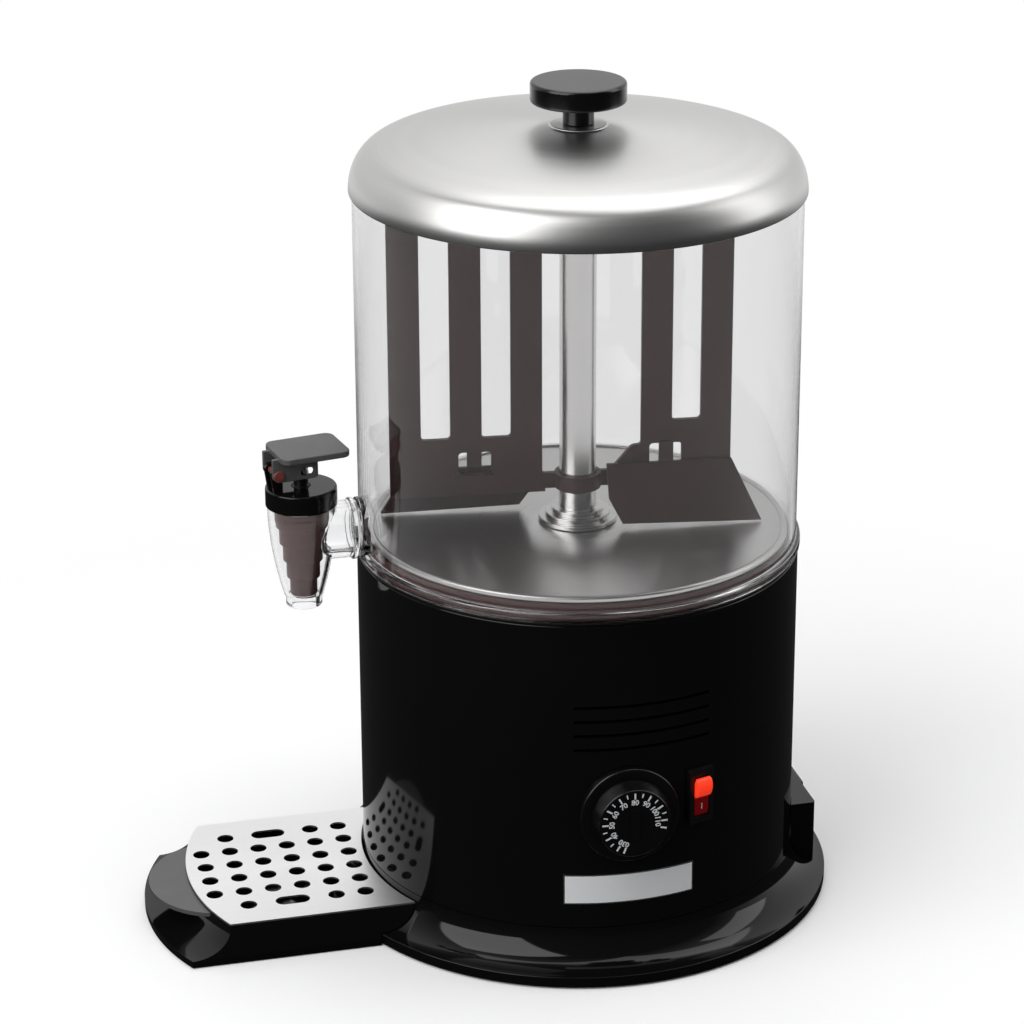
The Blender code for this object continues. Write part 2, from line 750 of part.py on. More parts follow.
def build_housing(machine, dial_axis, switch_axis):
    bottom = SKIRT_TOP + GAP
    profile = [(HOUSING_RADIUS, bottom), (HOUSING_RADIUS, HOUSING_TOP)]
    profile += [(HOUSING_BORE, HOUSING_TOP), (HOUSING_BORE, bottom)]
    shell = turned("housing_shell", profile, black_gloss(), machine, LARGE_SEGMENTS)
    vents = bmesh.new()
    inner = HOUSING_BORE - OVERRUN
    outer = HOUSING_RADIUS + OVERRUN
    for i in range(VENT_COUNT):
        middle = VENT_LOW_HEIGHT + i * VENT_PITCH
        outline = sector(inner, outer, VENT_START, VENT_END, LABEL_POINTS)
        extrude_outline(vents, outline, middle - VENT_SLOT / 2, middle + VENT_SLOT / 2)
    cut(shell, add_piece("vent_slots", vents, None, machine))
    dial_hole = cylinder("dial_hole", NECK_RADIUS + GAP, inner, outer, None, dial_axis)
    cut(shell, dial_hole)
    opening = rounded_rectangle(
        SWITCH_BODY_HEIGHT + 2 * GAP, SWITCH_BODY_WIDTH + 2 * GAP, SWITCH_BEVEL
    )
    cut(shell, prism("switch_hole", opening, inner, outer, None, switch_axis))
    cut(shell, inlet_opening("housing_inlet_opening", machine))
    return shell


def inlet_opening(name, machine):
    """The way through the wall for the back of the power inlet and its leads."""
    half_width = INLET_WIDTH / 2 + INLET_OPENING_PLAY
    half_height = INLET_HEIGHT / 2 + INLET_OPENING_PLAY
    low = (-half_width, HOUSING_BORE - OVERRUN, INLET_CENTRE - half_height)
    high = (half_width, HOUSING_RADIUS + OVERRUN, INLET_CENTRE + half_height)
    return block(name, low, high, None, machine)


def build_deck(machine):
    spigot = HOUSING_BORE - GAP
    spigot_bore = spigot - DECK_SPIGOT_WALL
    spigot_bottom = DECK_BOTTOM - DECK_SPIGOT_DEPTH
    profile = [(DECK_BORE_RADIUS, DECK_BOTTOM), (DECK_BORE_RADIUS, DECK_TOP)]
    profile += [(HOUSING_RADIUS, DECK_TOP), (HOUSING_RADIUS, DECK_BOTTOM)]
    profile += [(spigot, DECK_BOTTOM), (spigot, spigot_bottom)]
    profile += [(spigot_bore, spigot_bottom), (spigot_bore, DECK_BOTTOM)]
    return turned("deck_ring", profile, black_satin(), machine, LARGE_SEGMENTS)


# Water bath


def element_legs():
    """The two azimuths at which the heating element's legs go down."""
    return (math.pi + ELEMENT_OPENING / 2, math.pi - ELEMENT_OPENING / 2)


def build_bath(machine):
    bore = COLUMN_STUB_RADIUS + GAP
    outer_bottom = BATH_FLOOR_HEIGHT
    inner_bottom = outer_bottom + BATH_WALL
    flange_bottom = BATH_FLANGE_TOP - BATH_WALL
    profile = [(bore, outer_bottom), (BATH_RADIUS, outer_bottom), (BATH_RADIUS, flange_bottom)]
    profile += [(BATH_FLANGE_RADIUS, flange_bottom), (BATH_FLANGE_RADIUS, BATH_FLANGE_TOP)]
    profile += [(BATH_RADIUS - BATH_WALL, BATH_FLANGE_TOP), (BATH_RADIUS - BATH_WALL, inner_bottom)]
    profile += [(bore, inner_bottom)]
    vessel = turned("bath_vessel", profile, plain_steel(), machine, LARGE_SEGMENTS)
    for number, turn in enumerate(element_legs()):
        x = ELEMENT_RADIUS * math.cos(turn)
        y = ELEMENT_RADIUS * math.sin(turn)
        bottom = outer_bottom - OVERRUN
        top = inner_bottom + OVERRUN
        hole = cylinder(f"element_hole_{number}", ELEMENT_TUBE_RADIUS + GAP, bottom, top, None, machine)
        cut(vessel, place(hole, (x, y, 0)))
    return vessel


def element_route():
    """Up one leg, round the ring and down the other leg, with rounded bends."""
    start, end = element_legs()
    ring_height = BATH_FLOOR_HEIGHT + BATH_WALL + ELEMENT_LIFT
    leg_bottom = BATH_FLOOR_HEIGHT - ELEMENT_LEG_DROP
    bend_turn = ELEMENT_BEND / ELEMENT_RADIUS
    route = []
    for turn, side in ((start, 1), (end, -1)):
        stretch = [(turn, leg_bottom), (turn, ring_height - ELEMENT_BEND)]
        for share in (0.25, 0.5, 0.75):
            swept = share * QUARTER_TURN
            ahead = turn + side * bend_turn * (1 - math.cos(swept))
            stretch.append((ahead, ring_height - ELEMENT_BEND * (1 - math.sin(swept))))
        stretch.append((turn + side * bend_turn, ring_height))
        route.append(stretch)
    first = route[0][-1][0]
    last = route[1][-1][0] + FULL_TURN
    ring = []
    for i in range(1, ELEMENT_POINTS):
        ring.append((first + (last - first) * i / ELEMENT_POINTS, ring_height))
    whole = route[0] + ring + route[1][::-1]
    return [
        (ELEMENT_RADIUS * math.cos(turn), ELEMENT_RADIUS * math.sin(turn), height)
        for turn, height in whole
    ]


def build_element(machine):
    curve = bpy.data.curves.new("heating_element", "CURVE")
    curve.dimensions = "3D"
    curve.bevel_depth = ELEMENT_TUBE_RADIUS
    curve.bevel_resolution = 1
    curve.use_fill_caps = True
    route = element_route()
    spline = curve.splines.new("POLY")
    spline.points.add(len(route) - 1)
    for point, place_of_it in zip(spline.points, route):
        point.co = (*place_of_it, 1)
    curve.materials.append(plain_steel())
    element = bpy.data.objects.new("heating_element", curve)
    bpy.context.scene.collection.objects.link(element)
    element.parent = machine


def build_heater_plate(machine):
    bore = COLUMN_STUB_RADIUS + GAP
    bead_inner = HEATER_PLATE_RADIUS - BEAD_WIDTH
    bead_top = HEATER_PLATE_TOP + BEAD_RISE
    profile = [(bore, HEATER_PLATE_BOTTOM), (HEATER_PLATE_RADIUS, HEATER_PLATE_BOTTOM)]
    profile += [(HEATER_PLATE_RADIUS, HEATER_PLATE_TOP), (HEATER_PLATE_RADIUS - BEAD_WIDTH / 4, bead_top)]
    profile += [(bead_inner + BEAD_WIDTH / 4, bead_top), (bead_inner, HEATER_PLATE_TOP)]
    profile += [(bore, HEATER_PLATE_TOP)]
    turned("heater_plate", profile, brushed_steel(), machine, LARGE_SEGMENTS)
    outer = JAR_BORE - GAP
    inner = outer - GASKET_WIDTH
    bottom = DECK_TOP + GAP
    top = HEATER_PLATE_BOTTOM - GAP
    gasket = [(inner, bottom), (outer, bottom), (outer, top), (inner, top)]
    turned("plate_gasket", gasket, brown_silicone(), machine, LARGE_SEGMENTS)


def build_centre_flange(machine):
    bore = COLUMN_STUB_RADIUS + GAP
    profile = [(bore, FLANGE_BOTTOM)]
    for i in range(FLANGE_STEP_COUNT):
        share = i / (FLANGE_STEP_COUNT - 1)
        radius = FLANGE_RADIUS + (FLANGE_TOP_RADIUS - FLANGE_RADIUS) * share
        bottom = FLANGE_BOTTOM + i * FLANGE_STEP_RISE
        profile += [(radius, bottom), (radius, bottom + FLANGE_STEP_RISE)]
    profile += [(SLEEVE_RADIUS, FLANGE_STEPS_TOP), (SLEEVE_RADIUS, SLEEVE_TOP), (bore, SLEEVE_TOP)]
    turned("centre_flange", profile, brushed_steel(), machine)


# Column, shaft and motor


def build_column(machine):
    shoulder = SLEEVE_TOP + GAP
    bush_bore = BUSH_RADIUS + GAP
    low_bush_top = COLUMN_STUB_BOTTOM + BUSH_LENGTH
    high_bush_bottom = COLUMN_TOP - BUSH_LENGTH
    profile = [(bush_bore, COLUMN_STUB_BOTTOM), (COLUMN_STUB_RADIUS, COLUMN_STUB_BOTTOM)]
    profile += [(COLUMN_STUB_RADIUS, shoulder), (COLUMN_RADIUS, shoulder), (COLUMN_RADIUS, COLUMN_TOP)]
    profile += [(bush_bore, COLUMN_TOP), (bush_bore, high_bush_bottom)]
    profile += [(COLUMN_BORE_RADIUS, high_bush_bottom), (COLUMN_BORE_RADIUS, low_bush_top)]
    profile += [(bush_bore, low_bush_top)]
    turned("column_tube", profile, brushed_steel(), machine)
    shaft_bore = SHAFT_RADIUS + GAP
    for name, bottom in (("lower_bush", COLUMN_STUB_BOTTOM), ("upper_bush", high_bush_bottom + GAP)):
        top = bottom + BUSH_LENGTH - GAP
        bush = [(shaft_bore, bottom), (BUSH_RADIUS, bottom), (BUSH_RADIUS, top), (shaft_bore, top)]
        turned(name, bush, brass(), machine, SMALL_SEGMENTS)
    seal_top = BATH_UNDERSIDE
    seal_bottom = seal_top - SEAL_THICKNESS
    bore = COLUMN_STUB_RADIUS + GAP
    seal = [(bore, seal_bottom), (SEAL_RADIUS, seal_bottom), (SEAL_RADIUS, seal_top), (bore, seal_top)]
    turned("column_seal", seal, black_rubber(), machine)
    nut_top = seal_bottom - GAP
    nut_bottom = nut_top - NUT_HEIGHT
    nut = cylinder("column_nut", NUT_RADIUS, nut_bottom, nut_top, brass(), machine, 6)
    cut(nut, cylinder("nut_bore", bore, nut_bottom - OVERRUN, nut_top + OVERRUN, None, machine))


def build_shaft(stirrer_axis):
    square_bottom = COLUMN_TOP + RUNNING_GAP
    square_top = square_bottom + SHAFT_SQUARE_LENGTH
    shaft_bottom = COUPLING_MIDDLE + GAP / 2
    shaft = cylinder("drive_shaft", SHAFT_RADIUS, shaft_bottom, square_bottom, plain_steel(), stirrer_axis)
    half = SHAFT_SQUARE / 2
    overlap = square_bottom - RUNNING_GAP / 2
    square = block("shaft_square", (-half, -half, overlap), (half, half, square_top), None, stirrer_axis)
    join(shaft, square)
    stub_top = COUPLING_MIDDLE - GAP / 2
    stub_bottom = GEARBOX_TOP - GEARBOX_HEIGHT / 2
    cylinder("gearbox_output_shaft", SHAFT_RADIUS, stub_bottom, stub_top, plain_steel(), stirrer_axis)
    bore = SHAFT_RADIUS + GAP
    sleeve = [(bore, COUPLING_BOTTOM), (COUPLING_RADIUS, COUPLING_BOTTOM)]
    sleeve += [(COUPLING_RADIUS, COUPLING_TOP), (bore, COUPLING_TOP)]
    turned("shaft_coupling", sleeve, brass(), stirrer_axis, SMALL_SEGMENTS)


def build_motor(machine):
    top = MOTOR_PLATE_TOP
    plate = [(MOTOR_PLATE_BORE_RADIUS, MOTOR_PLATE_BOTTOM), (MOTOR_PLATE_RADIUS, MOTOR_PLATE_BOTTOM)]
    plate += [(MOTOR_PLATE_RADIUS, top), (MOTOR_PLATE_BORE_RADIUS, top)]
    mount = turned("motor_plate", plate, plain_steel(), machine)
    for number, (turn, (x, y)) in enumerate(ring_places(SPACER_COUNT, SPACER_CIRCLE)):
        bottom = MOTOR_PLATE_BOTTOM + MOTOR_PLATE_THICKNESS / 2
        spacer = cylinder(f"spacer_{number}", SPACER_RADIUS, bottom, BATH_UNDERSIDE, None, machine)
        join(mount, place(spacer, (x, y, 0)))
    half_x = GEARBOX_LENGTH / 2
    half_y = GEARBOX_WIDTH / 2
    gearbox = block(
        "gearbox", (-half_x, -half_y, GEARBOX_BOTTOM), (half_x, half_y, GEARBOX_TOP), plain_steel(), machine
    )
    bevel(gearbox, GEARBOX_BEVEL)
    bore_bottom = GEARBOX_TOP - GEARBOX_HEIGHT / 2 - GAP
    bore_top = GEARBOX_TOP + OVERRUN
    cut(gearbox, cylinder("output_bore", SHAFT_RADIUS + RUNNING_GAP, bore_bottom, bore_top, None, machine))
    motor_top = GEARBOX_BOTTOM - GAP
    motor_bottom = motor_top - MOTOR_HEIGHT
    chamfered = MOTOR_RADIUS - MOTOR_CHAMFER
    motor = [(0, motor_bottom), (chamfered, motor_bottom), (MOTOR_RADIUS, motor_bottom + MOTOR_CHAMFER)]
    motor += [(MOTOR_RADIUS, motor_top), (0, motor_top)]
    turned("motor", motor, black_satin(), machine)


# Jar and tap


def build_jar(machine):
    lip_top = JAR_BOTTOM + JAR_LIP_HEIGHT
    profile = [(JAR_BORE, JAR_BOTTOM), (JAR_LIP_RADIUS - JAR_LIP_CHAMFER, JAR_BOTTOM)]
    profile += [(JAR_LIP_RADIUS, JAR_BOTTOM + JAR_LIP_CHAMFER), (JAR_LIP_RADIUS, lip_top)]
    profile += [(JAR_RADIUS, lip_top + JAR_LIP_CHAMFER), (JAR_RADIUS, JAR_TOP), (JAR_BORE, JAR_TOP)]
    jar = turned("jar", profile, clear_plastic(), machine, LARGE_SEGMENTS)
    spout_axis = radial_frame("spout_axis", machine, -QUARTER_TURN, STEM_HEIGHT)
    wall_middle = JAR_RADIUS - JAR_WALL / 2
    face = JAR_RADIUS + JAR_BOSS_PROUD
    boss = cylinder("jar_boss", JAR_BOSS_RADIUS, wall_middle, face, None, spout_axis, MEDIUM_SEGMENTS)
    join(jar, boss)
    inside = JAR_BORE - OVERRUN
    outside = face + OVERRUN
    cut(jar, cylinder("spout_bore", STEM_BORE_RADIUS, inside, outside, None, spout_axis, MEDIUM_SEGMENTS))
    seal_bottom = face + GAP
    seal_top = seal_bottom + STEM_SEAL_THICKNESS
    seal = [(STEM_BORE_RADIUS, seal_bottom), (STEM_RADIUS, seal_bottom)]
    seal += [(STEM_RADIUS, seal_top), (STEM_BORE_RADIUS, seal_top)]
    turned("stem_seal", seal, clear_plastic(), spout_axis)
    return seal_top + GAP


def tap_outer_radius(height):
    """The tap body's barrel curve, slender at the outlet and full at the shoulder."""
    foot = OUTLET_HEIGHT + OUTLET_LIP_HEIGHT
    share = (height - foot) / (TAP_SHOULDER_HEIGHT - foot)
    bulge = math.sin(share * QUARTER_TURN) ** TAP_BULGE_SHARE
    return OUTLET_RADIUS + (TAP_TOP_RADIUS - OUTLET_RADIUS) * bulge


def build_tap_body(tap_axis, stem_end):
    foot = OUTLET_HEIGHT + OUTLET_LIP_HEIGHT
    rise = TAP_SHOULDER_HEIGHT - foot
    heights = [foot + rise * i / TAP_PROFILE_POINTS for i in range(TAP_PROFILE_POINTS + 1)]
    neck_top = TAP_SHOULDER_HEIGHT + TAP_NECK_HEIGHT
    profile = [(0, OUTLET_HEIGHT), (OUTLET_RADIUS, OUTLET_HEIGHT)]
    profile += [(tap_outer_radius(height), height) for height in heights]
    profile += [(TAP_NECK_RADIUS, TAP_SHOULDER_HEIGHT), (TAP_NECK_RADIUS, neck_top), (0, neck_top)]
    body = turned("tap_body", profile, clear_plastic(), tap_axis)
    stem_axis = radial_frame("stem_axis", tap_axis, QUARTER_TURN - TAP_TURN, STEM_HEIGHT)
    flange_start = stem_end - STEM_FLANGE_THICKNESS
    stem_profile = [(0, 0), (STEM_RADIUS, 0), (STEM_RADIUS, flange_start)]
    stem_profile += [(STEM_FLANGE_RADIUS, flange_start), (STEM_FLANGE_RADIUS, stem_end), (0, stem_end)]
    join(body, turned("tap_stem", stem_profile, None, stem_axis))
    inner_heights = [height for height in heights if height > SEAT_HEIGHT]
    cavity = [(0, OUTLET_HEIGHT - OVERRUN), (OUTLET_BORE_RADIUS, OUTLET_HEIGHT - OVERRUN)]
    cavity += [(OUTLET_BORE_RADIUS, SEAT_HEIGHT)]
    cavity += [(tap_outer_radius(SEAT_HEIGHT) - TAP_WALL, SEAT_HEIGHT)]
    cavity += [(tap_outer_radius(height) - TAP_WALL, height) for height in inner_heights[:-1]]
    cavity += [(TAP_NECK_RADIUS - TAP_WALL / 2, TAP_SHOULDER_HEIGHT)]
    cavity += [(TAP_NECK_RADIUS - TAP_WALL / 2, neck_top + OVERRUN), (0, neck_top + OVERRUN)]
    cut(body, turned("tap_cavity", cavity, None, tap_axis))
    bore_end = stem_end + OVERRUN
    cut(body, cylinder("stem_bore", STEM_BORE_RADIUS, 0, bore_end, None, stem_axis, MEDIUM_SEGMENTS))


def build_tap_cap(tap_axis):
    bottom = TAP_SHOULDER_HEIGHT + GAP
    roof = CAP_TOP - CAP_ROOF_THICKNESS
    thread = TAP_NECK_RADIUS + GAP
    profile = [(CAP_BORE_RADIUS, roof), (CAP_BORE_RADIUS, CAP_TOP), (CAP_RADIUS - CAP_CHAMFER, CAP_TOP)]
    profile += [(CAP_RADIUS, CAP_TOP - CAP_CHAMFER), (CAP_RADIUS, bottom), (thread, bottom), (thread, roof)]
    cap = turned("tap_cap", profile, black_gloss(), tap_axis)
    ear_radius = EAR_WIDTH / 2
    for side in (-1, 1):
        near = side * EAR_SPACING / 2 - EAR_THICKNESS / 2
        outline = [(-PIVOT_REACH + ear_radius, CAP_TOP - CAP_ROOF_THICKNESS / 2)]
        centre = (-PIVOT_REACH, PIVOT_HEIGHT)
        outline += arc(centre, (ear_radius, ear_radius), 0, math.pi, 7)
        outline += [(-PIVOT_REACH - ear_radius + CAP_CHAMFER * 2, CAP_TOP - CAP_ROOF_THICKNESS / 2)]
        join(cap, cross_prism(f"ear_{side}", outline, near, near + EAR_THICKNESS, tap_axis))
    cut(cap, pin_rod("cap_pin_hole", PIN_RADIUS + GAP, OVERRUN * 2, -PIVOT_REACH, tap_axis))


def cross_prism(name, outline, near, far, parent, material=None):
    """A prism whose outline lies in the YZ plane and which runs along X from near to far."""
    mesh = bmesh.new()
    extrude_outline(mesh, outline, near, far)
    turn = Matrix(((0, 0, 1), (1, 0, 0), (0, 1, 0)))
    bmesh.ops.transform(mesh, verts=mesh.verts, matrix=turn.to_4x4())
    return add_piece(name, mesh, material, parent)


def pin_rod(name, radius, half_length, reach, parent, material=None):
    """A round rod across the tap at pivot height, centred on x = 0."""
    rod = cylinder(name, radius, -half_length, half_length, material, parent)
    return place(rod, (0, reach, PIVOT_HEIGHT), (0, QUARTER_TURN, 0))


def cheek_inner():
    return EAR_SPACING / 2 + EAR_THICKNESS / 2 + GAP


def build_lever(tap_axis, lever_axis):
    """The lever's pieces lie in the frame on its pivot, so heights are taken from the pivot."""
    top = LEVER_TOP - PIVOT_HEIGHT
    bottom = top - LEVER_THICKNESS
    middle_y = PIVOT_REACH - LEVER_FRONT + LEVER_LENGTH / 2
    outline = rounded_rectangle(LEVER_WIDTH, LEVER_LENGTH, LEVER_CORNER, (0, middle_y), 4)
    lever = prism("tap_lever", outline, bottom, top, black_gloss(), lever_axis)
    bevel(lever, LEVER_EDGE_BEVEL)
    front = -CHEEK_FRONT
    rear = PIVOT_REACH + CHEEK_REAR
    overlap = bottom + LEVER_THICKNESS / 2
    for side in (-1, 1):
        inner = side * cheek_inner()
        outer = side * (cheek_inner() + CHEEK_THICKNESS)
        cheek = [(front, overlap), (front, -CHEEK_DROP / 2), (0, -CHEEK_DROP), (rear, -CHEEK_DROP)]
        cheek += [(rear, overlap)]
        near, far = min(inner, outer), max(inner, outer)
        join(lever, cross_prism(f"cheek_{side}", cheek, near, far, lever_axis))
    reach = OVERRUN * 2
    hole = cylinder("lever_pin_hole", PIN_RADIUS + GAP, -reach, reach, None, lever_axis)
    cut(lever, place(hole, (0, 0, 0), (0, QUARTER_TURN, 0)))
    width = 2 * (PIN_RADIUS + LIFT_SLOT_PLAY)
    length = width + LIFT_SLOT_LENGTH
    slot_middle = PIVOT_REACH + LIFT_SLOT_LENGTH / 2 - LIFT_SLOT_PLAY
    slot = rounded_rectangle(length, width, width / 2 - LIFT_SLOT_PLAY / 4, (slot_middle, 0), 4)
    cut(lever, cross_prism("lift_slot", slot, -reach, reach, lever_axis))


def build_pins(tap_axis):
    end = cheek_inner() + CHEEK_THICKNESS + GAP
    pivot = [(0, -end), (PIN_RADIUS, -end), (PIN_RADIUS, end), (PIN_HEAD_RADIUS, end)]
    pivot += [(PIN_HEAD_RADIUS, end + PIN_HEAD_THICKNESS), (0, end + PIN_HEAD_THICKNESS)]
    pin = turned("lever_pin", pivot, brown_silicone(), tap_axis, SMALL_SEGMENTS)
    place(pin, (0, -PIVOT_REACH, PIVOT_HEIGHT), (0, QUARTER_TURN, 0))


def build_plunger(tap_axis):
    foot = SEAT_HEIGHT + GAP + PLUNGER_FOOT_DEPTH
    rod_start = BELLOWS_TOP + GAP
    profile = [(0, foot), (PLUNGER_FOOT_RADIUS, foot), (PLUNGER_FOOT_RADIUS, rod_start)]
    profile += [(PLUNGER_ROD_RADIUS, rod_start), (PLUNGER_ROD_RADIUS, CAP_TOP)]
    profile += [(PLUNGER_HEAD_RADIUS, CAP_TOP + GAP), (PLUNGER_HEAD_RADIUS, PLUNGER_HEAD_TOP)]
    profile += [(0, PLUNGER_HEAD_TOP)]
    plunger = turned("tap_plunger", profile, black_satin(), tap_axis, SMALL_SEGMENTS)
    reach = OVERRUN * 2
    cut(plunger, pin_rod("lift_pin_hole", PIN_RADIUS + GAP, reach, 0, tap_axis))
    end = cheek_inner() + CHEEK_THICKNESS
    pin_rod("lift_pin", PIN_RADIUS, end, 0, tap_axis, plain_steel())
    bottom = SEAT_HEIGHT + GAP
    step = (BELLOWS_TOP - bottom) / BELLOWS_STEP_COUNT
    bellows = [(0, bottom)]
    for i in range(BELLOWS_STEP_COUNT):
        share = i / (BELLOWS_STEP_COUNT - 1)
        radius = BELLOWS_FOOT_RADIUS + (BELLOWS_TOP_RADIUS - BELLOWS_FOOT_RADIUS) * share
        low = bottom + step * i
        bellows += [(radius, low), (radius, low + step)]
    socket = PLUNGER_FOOT_RADIUS + GAP
    bellows += [(socket, BELLOWS_TOP), (socket, foot - GAP), (0, foot - GAP)]
    turned("tap_bellows", bellows, brown_silicone(), tap_axis)


# Lid


def lid_profile(inset):
    """The dome from rim to apex, drawn in by the inset."""
    width = LID_SHOULDER_WIDTH - inset
    rise = LID_SHOULDER_RISE - inset
    centre = (LID_RADIUS - LID_SHOULDER_WIDTH, LID_RIM_HEIGHT)
    points = arc(centre, (width, rise), 0, LID_SHOULDER_TURN, LID_SHOULDER_POINTS)
    edge, shoulder_top = points[-1]
    crown = LID_APEX - inset - shoulder_top
    for i in range(1, LID_CROWN_POINTS):
        radius = edge * (1 - i / LID_CROWN_POINTS)
        points.append((radius, shoulder_top + crown * (1 - (radius / edge) ** 2)))
    return points


def build_lid(lid_axis):
    bore = KNOB_SCREW_RADIUS + GAP
    outer = [point for point in lid_profile(0) if point[0] > LID_BOSS_RADIUS + LID_BOSS_RISE * 2]
    outer += [(LID_BOSS_RADIUS + LID_BOSS_RISE, LID_APEX), (LID_BOSS_RADIUS, LID_BOSS_TOP)]
    outer += [(bore, LID_BOSS_TOP)]
    inner = lid_profile(LID_WALL) + [(bore, LID_APEX - LID_WALL)]
    turned("lid", outer + inner[::-1], brushed_steel(), lid_axis, LARGE_SEGMENTS)
    seat_bottom = JAR_TOP + GAP
    seat_top = seat_bottom + SEAT_RING_THICKNESS
    lip_outer = JAR_BORE - RUNNING_GAP
    lip_inner = lip_outer - SEAT_RING_WALL
    lip_bottom = LID_RIM_HEIGHT + SEAT_RING_THICKNESS / 2
    share = (seat_top - LID_RIM_HEIGHT) / (LID_SHOULDER_RISE - LID_WALL)
    reach = (LID_SHOULDER_WIDTH - LID_WALL) * math.sqrt(1 - share**2)
    edge = LID_RADIUS - LID_SHOULDER_WIDTH + reach - GAP
    ring = [(lip_inner, lip_bottom), (lip_outer, lip_bottom), (lip_outer, seat_bottom)]
    ring += [(edge, seat_bottom), (edge, seat_top), (lip_inner, seat_top)]
    turned("lid_seat_ring", ring, black_satin(), lid_axis, LARGE_SEGMENTS)


def build_knob(lid_axis):
    stem_bottom = LID_BOSS_TOP + GAP
    disc_bottom = KNOB_TOP - KNOB_THICKNESS
    round_centre = KNOB_RADIUS - KNOB_ROUNDING
    rounding = (KNOB_ROUNDING, KNOB_ROUNDING)
    profile = [(0, stem_bottom), (KNOB_STEM_RADIUS, stem_bottom), (KNOB_STEM_RADIUS, disc_bottom)]
    low_centre = (round_centre, disc_bottom + KNOB_ROUNDING)
    profile += arc(low_centre, rounding, -QUARTER_TURN, 0, KNOB_ROUND_POINTS)
    high_centre = (round_centre, KNOB_TOP - KNOB_ROUNDING)
    profile += arc(high_centre, rounding, 0, QUARTER_TURN, KNOB_ROUND_POINTS)
    profile += [(0, KNOB_TOP)]
    knob = turned("lid_knob", profile, black_gloss(), lid_axis)
    hole_top = stem_bottom + KNOB_SCREW_LENGTH
    hole_bottom = stem_bottom - OVERRUN
    cut(knob, cylinder("knob_hole", KNOB_SCREW_RADIUS + GAP, hole_bottom, hole_top, None, lid_axis))
    underside = LID_APEX - LID_WALL - GAP
    washer_bottom = underside - KNOB_WASHER_THICKNESS
    bore = KNOB_SCREW_RADIUS + GAP
    washer = [(bore, washer_bottom), (KNOB_WASHER_RADIUS, washer_bottom)]
    washer += [(KNOB_WASHER_RADIUS, underside), (bore, underside)]
    turned("knob_washer", washer, plain_steel(), lid_axis, SMALL_SEGMENTS)
    head_top = washer_bottom - GAP
    head_bottom = head_top - KNOB_SCREW_HEAD_HEIGHT
    tip = hole_top - GAP
    screw = [(0, head_bottom), (KNOB_SCREW_HEAD_RADIUS, head_bottom), (KNOB_SCREW_HEAD_RADIUS, head_top)]
    screw += [(KNOB_SCREW_RADIUS, head_top), (KNOB_SCREW_RADIUS, tip), (0, tip)]
    turned("knob_screw", screw, plain_steel(), lid_axis, SMALL_SEGMENTS)


# Stirrer


def tine_windows(reach, web_top, sign):
    """The open spaces between one wing's tines."""
    windows = []
    outer = reach - TINE_WIDTH
    inner = reach - TINE_PITCH
    while inner - TINE_WIDTH > COLUMN_RADIUS - TINE_WIDTH / 2:
        windows.append((min(sign * inner, sign * outer), max(sign * inner, sign * outer), web_top))
        outer -= TINE_PITCH
        inner -= TINE_PITCH
    return windows


